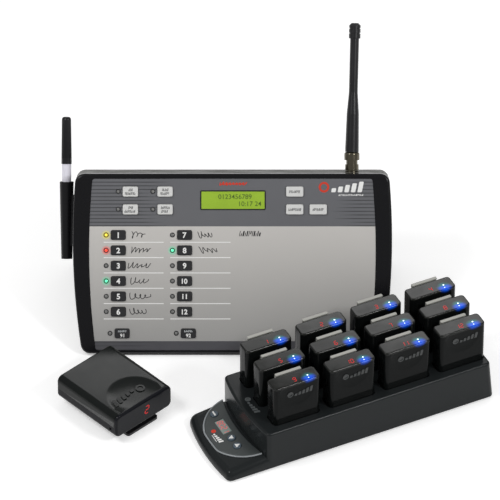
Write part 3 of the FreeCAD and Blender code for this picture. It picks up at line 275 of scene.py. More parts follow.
@dataclass(frozen=True)
class MouldedPlastic:
    """Moulded plastic: colour, gloss, sparked grain, and a little handling wear.

    Grain is in lumps a metre, relief its height in metres, and smear the change in roughness.
    """

    colour: Colour
    roughness: float
    specular: float = 0.4
    grain: float = 1500.0
    relief: float = 0.00004
    mottle: float = 0.06
    smear: float = 0.08
    scuffs: float = 0.1

    def material(self, name: str) -> bpy.types.Material:
        """Makes the material.

        Args:
            name: name of the material.

        Returns:
            The material.
        """
        recipe = Recipe(name)
        clouds = recipe.noise(14, 3)
        grain = recipe.noise(self.grain, 2)
        smears = recipe.noise(45, 4)
        marks = recipe.noise(1, 5, recipe.stretched((30, 900, 500), (0.3, 0.2, 0.7)))
        shade = recipe.math("ADD", recipe.math("MULTIPLY", clouds, 0.7),
                            recipe.math("MULTIPLY", grain, 0.3))
        colour = recipe.mix(shade, deeper(self.colour, 1 - self.mottle),
                            deeper(self.colour, 1 + self.mottle))
        scuff = recipe.spread(marks, 0, self.scuffs, 0.62, 0.8)
        rough = recipe.math("ADD", recipe.spread(smears, self.roughness - self.smear,
                                                 self.roughness + self.smear, 0.3, 0.7), scuff, clamp=True)
        recipe.sockets(Base_Color=colour, Roughness=rough, Specular_IOR_Level=self.specular)
        recipe.relief(grain, 0.5, self.relief)
        return recipe.material


@dataclass(frozen=True)
class PlatedMetal:
    """Plated metal with fine turning marks and patches of tarnish."""

    colour: Colour
    roughness: float = 0.28

    def material(self, name: str) -> bpy.types.Material:
        """Makes the material.

        Args:
            name: name of the material.

        Returns:
            The material.
        """
        recipe = Recipe(name)
        patches = recipe.noise(120, 4)
        turning = recipe.noise(1, 3, recipe.stretched((900, 900, 9000)))
        colour = recipe.mix(patches, deeper(self.colour, 0.75), deeper(self.colour, 1.1))
        rough = recipe.spread(patches, self.roughness + 0.14, self.roughness - 0.06, 0.3, 0.7)
        recipe.sockets(Base_Color=colour, Roughness=rough, Metallic=1.0)
        recipe.relief(turning, 0.35, 0.000004)
        return recipe.material


@dataclass(frozen=True)
class Rubber:
    """Rubber with a dusty bloom and a shallow pebble."""

    colour: Colour
    roughness: float = 0.62

    def material(self, name: str) -> bpy.types.Material:
        """Makes the material.

        Args:
            name: name of the material.

        Returns:
            The material.
        """
        recipe = Recipe(name)
        dust = recipe.noise(35, 5)
        pebble = recipe.noise(1100, 3)
        colour = recipe.mix(recipe.spread(dust, 0, 0.55, 0.45, 0.75), deeper(self.colour, 0.9),
                            deeper(self.colour, 1.7))
        recipe.sockets(Base_Color=colour, Specular_IOR_Level=0.35,
                       Roughness=recipe.spread(dust, self.roughness - 0.1, self.roughness + 0.1))
        recipe.relief(pebble, 0.5, 0.00006)
        return recipe.material


@dataclass(frozen=True)
class Ink:
    """Printed ink, slightly broken at the edge of its film."""

    colour: Colour
    glow: float = 0.0

    def material(self, name: str) -> bpy.types.Material:
        """Makes the material.

        Args:
            name: name of the material.

        Returns:
            The material.
        """
        recipe = Recipe(name)
        film = recipe.noise(2600, 2)
        colour = recipe.mix(film, deeper(self.colour, 0.86), deeper(self.colour, 1.08))
        recipe.sockets(Base_Color=colour, Roughness=recipe.spread(film, 0.42, 0.58),
                       Specular_IOR_Level=0.3, Emission_Color=colour, Emission_Strength=self.glow)
        recipe.relief(film, 0.3, 0.00003)
        return recipe.material


@dataclass(frozen=True)
class LitGlass:
    """A glowing lens, with a grainy diffuser behind clear glass."""

    colour: Colour
    strength: float

    def material(self, name: str) -> bpy.types.Material:
        """Makes the material.

        Args:
            name: name of the material.

        Returns:
            The material.
        """
        recipe = Recipe(name)
        diffuser = recipe.noise(1800, 3)
        glow = recipe.mix(diffuser, deeper(self.colour, 0.85), deeper(self.colour, 1.15))
        recipe.sockets(Base_Color=glow, Emission_Color=glow, Emission_Strength=self.strength,
                       Roughness=recipe.spread(diffuser, 0.12, 0.24), Coat_Weight=0.4)
        recipe.relief(diffuser, 0.2, 0.00003)
        return recipe.material


@dataclass(frozen=True)
class FaceplatePrint:
    """Printed face sheet: dark header, pale field, dark foot, fading pinstripes, and painted lamp light
    round the lit lamps.

    Lengths are in millimetres on the sloping face. A reach holds the shortest and the longest
    distance from the middle at which a stripe ends.
    """

    header: Colour = tone(98, 99, 103)
    field_top: Colour = tone(198, 195, 191)
    field_low: Colour = tone(158, 157, 155)
    foot: Colour = tone(72, 72, 77)
    stripe: Colour = tone(58, 59, 63)
    header_rise: float = 130.2
    foot_rise: float = 12.8
    pitch: float = 3.72
    stripe_share: float = 0.27
    stripe_fade: float = 22.0
    side_shift: float = 7.0
    left_reach: tuple[float, float] = (58, 82)
    right_reach: tuple[float, float] = (96, 118)
    foot_reach: tuple[float, float] = (66, 92)
    # painted light: the glow each lit lamp throws on the sheet, mixed into the sheet's colour round the
    # lamp
    halos: tuple[tuple[float, float, Colour], ...] = (
        (-128.6, 121.4, tone(236, 226, 92)), (-128.6, 105.7, tone(244, 96, 84)),
        (-128.6, 74.3, tone(120, 226, 180)), (-61.1, 105.7, tone(120, 226, 180)))
    halo_start: float = 1.8
    halo_reach: float = 5.6
    halo_strength: float = 0.85

    def haloed(self, recipe: Recipe, colour: object, across: object, up: object) -> bpy.types.NodeSocket:
        """The sheet's colour with the light that each lit lamp throws round itself.

        Args:
            recipe: the material being wired.
            colour: colour of the sheet.
            across: coordinate across the sheet in millimetres.
            up: coordinate up the sheet in millimetres.

        Returns:
            The colour with the light.
        """
        for x, y, light in self.halos:
            far = recipe.distance(recipe.math("SUBTRACT", across, x), recipe.math("SUBTRACT", up, y))
            share = recipe.spread(far, self.halo_strength, 0, self.halo_start, self.halo_reach, smooth=True)
            colour = recipe.mix(share, colour, deeper(light))
        return colour

    def stripes(self, recipe: Recipe, across: object, up: object, side: int,
                reach: tuple[float, float]) -> bpy.types.NodeSocket:
        """Stripe strength on one side of the sheet, each stripe fading at its own length.

        Args:
            recipe: the material being wired.
            across: coordinate across the sheet in millimetres.
            up: coordinate up the sheet in millimetres.
            side: -1 for stripes from the left edge, 1 from the right.
            reach: shortest and longest distance from the middle at which a stripe ends.

        Returns:
            An output from 0 to 1.
        """
        rows = recipe.math("DIVIDE", up, self.pitch)
        random = recipe.node("ShaderNodeTexWhiteNoise", noise_dimensions="1D")
        number = recipe.math("ADD", recipe.math("FLOOR", rows), self.side_shift * side)
        recipe.feed(random.inputs["W"], number)
        end = recipe.spread(random.outputs["Value"], *reach)
        out = recipe.math("MULTIPLY", across, float(side))
        fade = recipe.math("DIVIDE", recipe.math("SUBTRACT", out, end), self.stripe_fade, clamp=True)
        return recipe.math("MULTIPLY", recipe.ruled(rows, self.stripe_share), fade)

    def material(self, name: str) -> bpy.types.Material:
        """Makes the material.

        Args:
            name: name of the material.

        Returns:
            The material.
        """
        recipe = Recipe(name)
        across, up, _ = recipe.framed(FACE)
        left, right, low = (self.stripes(recipe, across, up, side, reach) for side, reach in (
            (-1, self.left_reach), (1, self.right_reach), (-1, self.foot_reach)))
        field = recipe.mix(recipe.spread(up, 0, 1, self.foot_rise, self.header_rise),
                           deeper(self.field_low), deeper(self.field_top))
        header = recipe.mix(recipe.math("MAXIMUM", left, right), deeper(self.header), deeper(self.stripe))
        foot = recipe.mix(low, deeper(self.foot), deeper(self.stripe))
        colour = recipe.mix(recipe.math("GREATER_THAN", up, self.header_rise), field, header)
        colour = recipe.mix(recipe.math("LESS_THAN", up, self.foot_rise), colour, foot)
        worn = recipe.mix(recipe.spread(recipe.noise(22, 4), 0, 0.05), colour, deeper(self.field_top))
        recipe.sockets(Base_Color=self.haloed(recipe, worn, across, up), Specular_IOR_Level=0.3,
                       Roughness=recipe.spread(recipe.noise(60, 4), 0.42, 0.58, 0.3, 0.7))
        recipe.relief(recipe.noise(2400, 2), 0.4, 0.00003)
        return recipe.material


@dataclass(frozen=True)
class PagerLens:
    """Smoked lens or shell of a docked pager with the glow of its lamp painted on, laid out by the UV map;
    on the shell it is painted light spilling onto the front.

    The map holds millimetres: across the pager, and from its top front edge back along the top.
    """

    colour: Colour
    roughness: float
    specular: float
    centre: tuple[float, float] = (13.6, 3.6)
    core: float = 3.0
    halo: float = 8.8
    blue: Colour = tone(0, 86, 230)
    fringe: Colour = tone(0, 122, 116)
    strength: float = 0.95

    def material(self, name: str) -> bpy.types.Material:
        """Makes the material.

        Args:
            name: name of the material.

        Returns:
            The material.
        """
        recipe = Recipe(name)
        sheet = recipe.node("ShaderNodeUVMap", uv_map=PagerMaker.MAP)
        parts = recipe.node("ShaderNodeSeparateXYZ")
        recipe.feed(parts.inputs["Vector"], sheet.outputs["UV"])
        off_x = recipe.math("SUBTRACT", parts.outputs["X"], self.centre[0])
        off_y = recipe.math("SUBTRACT", parts.outputs["Y"], self.centre[1])
        wobble = recipe.spread(recipe.noise(260, 2), -1.2, 1.2)
        far = recipe.math("ADD", recipe.distance(off_x, off_y), wobble)
        back = recipe.spread(off_y, 0, 1, 0.5, 4.5, smooth=True)
        glow = recipe.mix(back, deeper(self.blue), deeper(self.fringe))
        power = recipe.spread(far, self.strength, 0, self.core * 0.8, self.halo, smooth=True)
        clouds = recipe.noise(30, 3)
        colour = recipe.mix(clouds, deeper(self.colour, 0.9), deeper(self.colour, 1.1))
        # painted glow: near the lamp the base colour turns dark blue
        painted_glow_tint = recipe.spread(far, 1, 0, self.core, self.halo)
        colour = recipe.mix(painted_glow_tint, colour, deeper(self.blue, 0.03))
        recipe.sockets(Base_Color=colour, Specular_IOR_Level=self.specular,
                       Roughness=recipe.spread(recipe.noise(70, 4), self.roughness - 0.04,
                                               self.roughness + 0.05, 0.3, 0.7),
                       Emission_Color=glow, Emission_Strength=power)
        recipe.relief(recipe.noise(900, 2), 0.12, 0.00002)
        return recipe.material


@dataclass(frozen=True)
class BrushedSheet:
    """Grey sheet with fine ruled lines along one way, in the panel's frame."""

    colour: Colour
    line_from: float = 26.0
    line_to: float = 52.0
    pitch: float = 1.15

    def material(self, name: str) -> bpy.types.Material:
        """Makes the material.

        Args:
            name: name of the material.

        Returns:
            The material.
        """
        recipe = Recipe(name)
        _, along, _ = recipe.framed(PANEL)
        ruled = recipe.ruled(recipe.math("DIVIDE", along, self.pitch), 0.4)
        near = recipe.spread(along, 1, 0, self.line_from, self.line_to)
        lines = recipe.math("MULTIPLY", recipe.math("MULTIPLY", ruled, near), 0.6)
        colour = recipe.mix(lines, deeper(self.colour), deeper(self.colour, 0.62))
        clouds = recipe.noise(30, 4)
        worn = recipe.mix(recipe.spread(clouds, 0, 0.25), colour, deeper(self.colour, 1.25))
        recipe.sockets(Base_Color=worn,
                       Roughness=recipe.spread(clouds, 0.32, 0.46, 0.3, 0.7), Specular_IOR_Level=0.45)
        recipe.relief(recipe.math("ADD", recipe.noise(2000, 2), lines), 0.3, 0.00004)
        return recipe.material


@dataclass(frozen=True)
class LiquidCrystal:
    """Back-lit green display with its pixel grid, in the face's frame."""

    colour: Colour = tone(150, 184, 52)
    pitch: float = 0.62

    def material(self, name: str) -> bpy.types.Material:
        """Makes the material.

        Args:
            name: name of the material.

        Returns:
            The material.
        """
        recipe = Recipe(name)
        across, up, _ = recipe.framed(FACE)
        gaps = [recipe.ruled(recipe.math("DIVIDE", way, self.pitch), 0.14) for way in (across, up)]
        grid = recipe.math("MULTIPLY", recipe.math("MAXIMUM", *gaps), 0.35)
        haze = recipe.noise(38, 3)
        lit = recipe.mix(haze, deeper(self.colour, 0.84), deeper(self.colour, 1.1))
        colour = recipe.mix(grid, lit, deeper(self.colour, 0.7))
        recipe.sockets(Base_Color=colour, Emission_Color=colour, Emission_Strength=0.1,
                       Roughness=recipe.spread(haze, 0.16, 0.26), Specular_IOR_Level=0.4)
        recipe.relief(haze, 0.1, 0.00003)
        return recipe.material


class Finish(Enum):
    """Every finish on the set, by the name of its material."""

    REAR_SHELL = MouldedPlastic(tone(76, 76, 72), 0.46, 0.12)
    BEZEL = MouldedPlastic(tone(15, 15, 18), 0.24, 0.22, 1800.0, 0.00001, 0.06, 0.04, 0.05)
    FACEPLATE = FaceplatePrint()
    HEADER_KEY = MouldedPlastic(tone(214, 214, 212), 0.48, 0.35, 2200.0, 0.00002, 0.03)
    NUMBER_KEY = MouldedPlastic(tone(38, 38, 40), 0.45, 0.35, 2200.0, 0.00002)
    DISPLAY_FRAME = MouldedPlastic(tone(30, 31, 30), 0.34, 0.4)
    DISPLAY_GLASS = LiquidCrystal()
    BOARD = MouldedPlastic(tone(32, 92, 52), 0.42, 0.5)
    LAMP_RING = MouldedPlastic(tone(58, 58, 60), 0.4, 0.4)
    LAMP_OFF = MouldedPlastic(tone(122, 122, 120), 0.25, 0.5)
    NICKEL_PLATE = PlatedMetal(tone(104, 99, 86), 0.12)
    WHIP = Rubber(tone(20, 20, 23), 0.36)
    HOLDER = MouldedPlastic(tone(15, 15, 18), 0.32, 0.26)
    MARKER_BARREL = MouldedPlastic(tone(230, 228, 238), 0.3, 0.4, 1800.0, 0.00002, 0.02)
    MARKER_CAP = MouldedPlastic(tone(14, 14, 18), 0.14, 0.45, 1800.0, 0.00001, 0.06, 0.04, 0.03)
    FOOT = Rubber(tone(30, 30, 30), 0.75)
    SCREW = PlatedMetal(tone(140, 140, 142), 0.3)
    RACK = MouldedPlastic(tone(32, 35, 36), 0.22, 0.15, 1500.0, 0.00002, 0.05, 0.03, 0.03)
    PANEL = BrushedSheet(tone(58, 63, 63))
    # painted highlight: the rim's pale grey stands in for the light its rounded edge catches
    PANEL_RIM_HIGHLIGHT = MouldedPlastic(tone(142, 147, 150), 0.2, 0.8, 1800.0, 0.00001, 0.04)
    READOUT = MouldedPlastic(tone(142, 156, 150), 0.16, 0.4, 1800.0, 0.00001, 0.04)
    ROUND_KEY = MouldedPlastic(tone(74, 87, 98), 0.28, 0.35, 2000.0, 0.00002)
    # the shell's emission is painted light: the lamp's blue glow spilling down the front
    PAGER_SHELL = PagerLens(tone(15, 17, 17), 0.09, 0.08, strength=0.6)
    PAGER_LENS = PagerLens(tone(27, 28, 26), 0.11, 0.22)
    PAGER_REAR = MouldedPlastic(tone(13, 14, 15), 0.2, 0.14, 1500.0, 0.00002, 0.05, 0.03, 0.03)
    # painted highlight: the embossed pager mark is lighter than the shell to stand in for glints on its
    # edges
    PAGER_MARK = MouldedPlastic(tone(47, 50, 50), 0.16, 0.4, 1100.0, 0.00001)
    # painted highlight: the embossed deck mark is light grey to stand in for glints on its edges
    DECK_MARK = MouldedPlastic(tone(92, 96, 97), 0.16, 0.4, 1100.0, 0.00001)
    # painted reflection: the docked clips are light grey for the sheen on their tops, while the loose
    # pager's clip is black
    CLIP = MouldedPlastic(tone(166, 166, 160), 0.42, 0.35, 1800.0, 0.00003)
    SAMPLE_FRONT = MouldedPlastic(tone(20, 23, 22), 0.12, 0.16, 1100.0, 0.00001, 0.06, 0.02, 0.02)
    SAMPLE_REAR = MouldedPlastic(tone(30, 30, 33), 0.36, 0.08, 1500.0, 0.00002, 0.05, 0.04, 0.04)
    SAMPLE_LENS = MouldedPlastic(tone(24, 25, 29), 0.1, 0.11, 1100.0, 0.00001, 0.04, 0.02, 0.02)
    SAMPLE_CLIP = MouldedPlastic(tone(28, 28, 30), 0.34, 0.3)
    WHITE_INK = Ink(tone(238, 238, 236))
    LEGEND_INK = Ink(tone(58, 58, 62))
    SCRIPT_INK = Ink(tone(24, 24, 28))
    RED_INK = Ink(tone(208, 60, 40))
    PALE_INK = Ink(tone(200, 204, 206))
    OLIVE_INK = Ink(tone(74, 98, 34))
    RED_DIGIT = Ink(tone(196, 34, 34), 0.4)
    WINDOW_DIGIT = Ink(tone(226, 92, 96), 0.35)
    SPARK = LitGlass(tone(214, 238, 255), 1.6)
    YELLOW_LAMP = LitGlass(tone(255, 214, 60), 0.9)
    RED_LAMP = LitGlass(tone(255, 70, 52), 0.9)
    GREEN_LAMP = LitGlass(tone(92, 232, 172), 0.9)

    def material(self) -> bpy.types.Material:
        """The finish's material, made the first time it is asked for."""
        name = self.name.lower()
        return bpy.data.materials.get(name) or self.value.material(name)


def clear_selection() -> None:
    """Leaves no object selected or in edit mode."""
    if bpy.context.mode != "OBJECT":
        bpy.ops.object.mode_set(mode="OBJECT")
    bpy.ops.object.select_all(action="DESELECT")


def make_active(thing: bpy.types.Object) -> None:
    """Selects one object alone.

    Args:
        thing: the object.
    """
    clear_selection()
    thing.select_set(True)
    bpy.context.view_layer.objects.active = thing


class Workpiece:
    """One mesh on the bench: started from a primitive, shaped in edit mode, then put in place."""

    def __init__(self, name: str) -> None:
        """Takes the active object and fixes its scale and turn into the mesh.

        Args:
            name: name of the object and its mesh.
        """
        self.thing = bpy.context.object
        self.thing.name = name
        self.thing.data.name = name
        make_active(self.thing)
        bpy.ops.object.transform_apply(location=True, rotation=True, scale=True)

    @classmethod
    def block(cls, name: str, low: Point, high: Point) -> "Workpiece":
        """A block between two corners.

        Args:
            name: name of the piece.
            low: its lowest corner.
            high: its highest corner.

        Returns:
            The block.
        """
        clear_selection()
        middle = [(a + b) / 2 for a, b in zip(low, high)]
        bpy.ops.mesh.primitive_cube_add(size=1, location=middle,
                                        scale=[b - a for a, b in zip(low, high)])
        return cls(name)

    @classmethod
    def round(cls, name: str, centre: Point, radius: float, high: float, sides: int = 32) -> "Workpiece":
        """An upright round bar on a centre.

        Args:
            name: name of the piece.
            centre: centre of its lower end.
            radius: its radius.
            high: its height.
            sides: number of flats round it.

        Returns:
            The bar.
        """
        clear_selection()
        bpy.ops.mesh.primitive_cylinder_add(vertices=sides, radius=radius, depth=high,
                                            location=(centre[0], centre[1], centre[2] + high / 2))
        return cls(name)

    @classmethod
    def disc(cls, name: str, centre: Point, radius: float, sides: int = 32) -> "Workpiece":
        """A flat filled circle facing up.

        Args:
            name: name of the piece.
            centre: its centre.
            radius: its radius.
            sides: number of corners.

        Returns:
            The disc.
        """
        clear_selection()
        bpy.ops.mesh.primitive_circle_add(vertices=sides, radius=radius, fill_type="NGON",
                                          location=centre)
        return cls(name)

    @classmethod
    def letters(cls, name: str, text: str, high: float, bold: float, thick: float = FILM) -> "Workpiece":
        """Raised plain figures, centred on the origin and facing up.

        Args:
            name: name of the piece.
            text: the figures.
            high: height of a figure.
            bold: how much each stroke swells, as a share of the height.
            thick: how far the figures stand up.

        Returns:
            The figures as a mesh.
        """
        clear_selection()
        bpy.ops.object.text_add()
        curve = bpy.context.object.data
        curve.body = text
        curve.size = high / 0.7
        curve.offset = bold * high
        curve.extrude = thick / 2
        curve.resolution_u = 5
        make_active(bpy.context.object)
        bpy.ops.object.convert(target="MESH")
        made = cls(name)
        low, top = made.span()
        return made.move(at(-(low.x + top.x) / 2, -(low.y + top.y) / 2, -low.z))

    @classmethod
    def gather(cls, name: str, parts: Sequence["Workpiece"]) -> "Workpiece":
        """Makes several workpieces one, with its own name.

        Args:
            name: name of the whole.
            parts: the workpieces, the first of which stays.

        Returns:
            The whole.
        """
        made = parts[0].join(parts[1:])
        made.thing.name = name
        return made

    def span(self) -> tuple[Vector, Vector]:
        """Lowest and highest corner of the mesh."""
        points = [vertex.co for vertex in self.thing.data.vertices]
        return (Vector(map(min, zip(*points))), Vector(map(max, zip(*points))))

    def move(self, place: Matrix) -> "Workpiece":
        """Moves the mesh itself, with the object left at the origin.

        Args:
            place: the move.

        Returns:
            The workpiece.
        """
        self.thing.data.transform(place)
        self.thing.data.update()
        return self

    @contextmanager
    def picked(self, kind: str, test: Callable) -> Iterator[None]:
        """Edit mode with only the faces or edges that pass a test selected.

        Args:
            kind: FACE or EDGE.
            test: what tells whether one is selected.
        """
        make_active(self.thing)
        bpy.ops.object.mode_set(mode="EDIT")
        bpy.ops.mesh.select_mode(type=kind)
        bpy.ops.mesh.select_all(action="DESELECT")
        mesh = bmesh.from_edit_mesh(self.thing.data)
        mesh.normal_update()
        for part in mesh.faces if kind == "FACE" else mesh.edges:
            if test(part):
                part.select_set(True)
        bmesh.update_edit_mesh(self.thing.data)
        yield
        bpy.ops.object.mode_set(mode="OBJECT")

    def bevel(self, test: EdgeTest, width: float, segments: int = 3) -> "Workpiece":
        """Rounds the edges that pass a test.

        Args:
            test: which edges.
            width: width of the rounding.
            segments: facets across it.

        Returns:
            The workpiece.
        """
        with self.picked("EDGE", test):
            bpy.ops.mesh.bevel(offset=width, segments=segments, profile=0.5, affect="EDGES",
                               clamp_overlap=True)
        return self

    def inset(self, test: FaceTest, width: float, depth: float = 0.0) -> "Workpiece":
        """Insets the faces that pass a test and raises what is inside.

        Args:
            test: which faces.
            width: width of the border.
            depth: how far the inner face rises.

        Returns:
            The workpiece.
        """
        with self.picked("FACE", test):
            bpy.ops.mesh.inset(thickness=width, depth=depth)
        return self

    def extrude(self, test: FaceTest, step: Point, share: float = 1.0) -> "Workpiece":
        """Pulls out the faces that pass a test and then scales them.

        Args:
            test: which faces.
            step: how far they are pulled.
            share: their size afterwards.

        Returns:
            The workpiece.
        """
        with self.picked("FACE", test):
            bpy.ops.mesh.extrude_region_move(TRANSFORM_OT_translate={"value": step})
            if share != 1.0:
                bpy.ops.transform.resize(value=(share, share, share))
        return self

    def bisect(self, point: Point, normal: Point) -> "Workpiece":
        """Cuts away what lies on the normal's side of a plane and closes the cut.

        Args:
            point: a point on the plane.
            normal: the plane's normal.

        Returns:
            The workpiece.
        """
        with self.picked("FACE", lambda _: True):
            bpy.ops.mesh.bisect(plane_co=point, plane_no=normal, use_fill=True, clear_outer=True,
                                threshold=HAIR)
        return self

    def twin(self, name: str) -> "Workpiece":
        """A copy with a mesh of its own.

        Args:
            name: name of the copy.

        Returns:
            The copy.
        """
        make_active(self.thing)
        bpy.ops.object.duplicate(linked=False)
        return Workpiece(name)

    def carve(self, cutter: "Workpiece") -> "Workpiece":
        """Cuts another workpiece out of this one and clears it away.

        Args:
            cutter: the workpiece to cut out.

        Returns:
            The workpiece.
        """
        change = self.thing.modifiers.new("carve", "BOOLEAN")
        change.operation = "DIFFERENCE"
        change.solver = "EXACT"
        change.object = cutter.thing
        make_active(self.thing)
        bpy.ops.object.modifier_apply(modifier=change.name)
        bpy.data.objects.remove(cutter.thing)
        return self

    def soften(self, width: float, segments: int = 2) -> "Workpiece":
        """Rounds every sharp edge with a bevel modifier.

        Args:
            width: width of the rounding.
            segments: facets across it.

        Returns:
            The workpiece.
        """
        change = self.thing.modifiers.new("soften", "BEVEL")
        change.width = width
        change.segments = segments
        change.limit_method = "ANGLE"
        change.angle_limit = SMOOTH_ANGLE
        make_active(self.thing)
        bpy.ops.object.modifier_apply(modifier=change.name)
        return self

    def join(self, others: Iterable["Workpiece"]) -> "Workpiece":
        """Makes other workpieces part of this one.

        Args:
            others: the workpieces to take in.

        Returns:
            The workpiece.
        """
        others = list(others)
        make_active(self.thing)
        for other in others:
            other.thing.select_set(True)
        if others:
            bpy.ops.object.join()
        return self

    def dress(self, finish: Finish, body: str = BODY, slot: str | None = None,
              replaces: Sequence[str] = (), place: Matrix | None = None) -> bpy.types.Object:
        """Smooths, places, paints and mounts the finished piece.

        Args:
            finish: the finish of the whole piece.
            body: body that the piece rides on.
            slot: material slot of the record that the finish belongs to; not used.
            replaces: nodes that the piece stands for.
            place: where the workpiece's frame goes.

        Returns:
            The finished object.
        """
        if place is not None:
            self.move(place)
        make_active(self.thing)
        bpy.ops.object.shade_smooth_by_angle(angle=SMOOTH_ANGLE)
        even = self.thing.modifiers.new("even", "WEIGHTED_NORMAL")
        even.keep_sharp = True
        bpy.ops.object.modifier_apply(modifier=even.name)
        self.thing.data.materials.clear()
        self.thing.data.materials.append(finish.material())
        if replaces:
            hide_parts(*replaces)
        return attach(self.thing, body)


def upright(edge: bmesh.types.BMEdge) -> bool:
    """Whether an edge runs along z."""
    first, second = (vertex.co for vertex in edge.verts)
    return abs(first.x - second.x) < HAIR and abs(first.y - second.y) < HAIR


def facing(axis: int, sign: int) -> FaceTest:
    """A test for faces that look along an axis."""
    return lambda face: face.normal[axis] * sign > 0.99


def round_top(face: bmesh.types.BMFace) -> bool:
    """Whether a face looks up and has more than four corners, as the middle of a round end has."""
    return face.normal.z > 0.99 and len(face.verts) > 4


def top_over(area: float) -> FaceTest:
    """A test for faces that look up and are larger than an area."""
    return lambda face: face.normal.z > 0.99 and face.calc_area() > area


def all_above(level: float) -> EdgeTest:
    """A test for edges that lie wholly above a level."""
    return lambda edge: all(vertex.co.z > level for vertex in edge.verts)


def slanted(share: float) -> Matrix:
    """A lean to the right by a share of the height.

    Args:
        share: the lean to the right.

    Returns:
        The shearing matrix.
    """
    lean = Matrix.Identity(4)
    lean[0][1] = share
    return lean


def paint_nodes(finishes: dict[str, Finish]) -> None:
    """Gives CAD nodes that stay their finishes.

    Args:
        finishes: finish of each node by name.
    """
    for name, finish in finishes.items():
        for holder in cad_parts[name].material_slots:
            holder.material = finish.material()


def small_print(name: str, rows: Sequence[float], high: float, pitch: float, bold: float,
                seed: int) -> Workpiece:
    """Rows of short slanted strokes that stand for small print without being letters.

    Args:
        name: name of the piece.
        rows: length of each row, from the top.
        high: height of a row.
        pitch: distance between rows.
        bold: width of a stroke.
        seed: where the run of strokes starts.

    Returns:
        The strokes as one flat raised mesh on the origin.
    """
    widths = (1.0, 0.7, 1.3, 0.6, 0.9, 1.4, 0.7, 1.1, 0.6)
    reaches = (1.0, 0.62, 1.0, 1.0, 0.55, 1.0, 0.7, 1.0)
    strokes = []
    for number, long in enumerate(rows):
        left = -long / 2
        low = (len(rows) - 1) / 2 * pitch - number * pitch - high / 2
        while left < long / 2 - bold * 0.5:
            seed += 1
            wide = bold * widths[seed % len(widths)]
            tall = high * reaches[seed % len(reaches)]
            lift = (high - tall) * (seed % 2)
            stroke = Workpiece.block(name + "_stroke", (left, low + lift, 0),
                                     (left + wide, low + lift + tall, FILM))
            strokes.append(stroke.bevel(upright, wide * 0.2, 1))
            left += wide + bold * 0.85
    return Workpiece.gather(name, strokes).move(slanted(0.22))


def bead(name: str, points: Sequence[Point], half: float, flat: float = 1.0) -> Workpiece:
    """A bead along a smooth line of points.

    Args:
        name: name of the piece.
        points: the points that the line follows.
        half: half the bead's width.
        flat: its height as a share of its width.

    Returns:
        The bead as a mesh.
    """
    data = bpy.data.curves.new(name, "CURVE")
    data.dimensions = "3D"
    data.bevel_depth = half
    data.bevel_resolution = 2
    data.resolution_u = 2
    data.use_fill_caps = True
    line = data.splines.new("NURBS")
    line.points.add(len(points) - 1)
    for point, spot in zip(line.points, points):
        point.co = (*spot, 1)
    line.order_u = 4
    line.use_endpoint_u = True
    thing = bpy.data.objects.new(name, data)
    bpy.context.scene.collection.objects.link(thing)
    make_active(thing)
    bpy.ops.object.convert(target="MESH")
    return Workpiece(name).move(Matrix.Scale(flat, 4, (0, 0, 1)))


def scribble(name: str, wide: float, high: float, waves: int, seed: int, nib: float = 0.0004) -> Workpiece:
    """A pen squiggle with loops, as a thin ribbon on the origin.

    Args:
        name: name of the piece.
        wide: length of the squiggle.
        high: height of its tallest loop.
        waves: number of loops.
        seed: which of several squiggles it is.
        nib: half the width of the line.

    Returns:
        The squiggle as a mesh.
    """
    steps = waves * 12
    points = []
    for number in range(steps + 1):
        share = number / steps
        turn = share * waves * 2 * math.pi
        tall = high * (0.32 + 0.3 * abs(math.sin(share * 5.1 + seed)) + 0.38 * (share < 1.2 / waves))
        x = (share - 0.5) * wide + 0.32 * wide / waves * math.sin(turn + 0.6 * seed)
        points.append((x, tall * math.cos(turn) * 0.5 + 0.06 * high * math.sin(2.3 * turn), 0))
    return bead(name, points, nib, 0.4)


def arc_points(first: tuple[float, float], middle: tuple[float, float], last: tuple[float, float],
               grow: float, steps: int) -> list[tuple[float, float]]:
    """Points along the arc through three points, moved outwards from its centre.

    Args:
        first: start of the arc.
        middle: a point on it.
        last: its end.
        grow: how far outwards the points lie.
        steps: number of spans.

    Returns:
        The points from the start to the end.
    """
    (ax, ay), (bx, by), (cx, cy) = first, middle, last
    twice = 2 * (ax * (by - cy) + bx * (cy - ay) + cx * (ay - by))
    squares = (ax * ax + ay * ay, bx * bx + by * by, cx * cx + cy * cy)
    x = (squares[0] * (by - cy) + squares[1] * (cy - ay) + squares[2] * (ay - by)) / twice
    y = (squares[0] * (cx - bx) + squares[1] * (ax - cx) + squares[2] * (bx - ax)) / twice
    reach = math.hypot(ax - x, ay - y) + grow
    start, end = math.atan2(ay - y, ax - x), math.atan2(cy - y, cx - x)
    sweep = (end - start + math.pi) % (2 * math.pi) - math.pi
    turns = [start + sweep * step / steps for step in range(steps + 1)]
    return [(x + reach * math.cos(turn), y + reach * math.sin(turn)) for turn in turns]


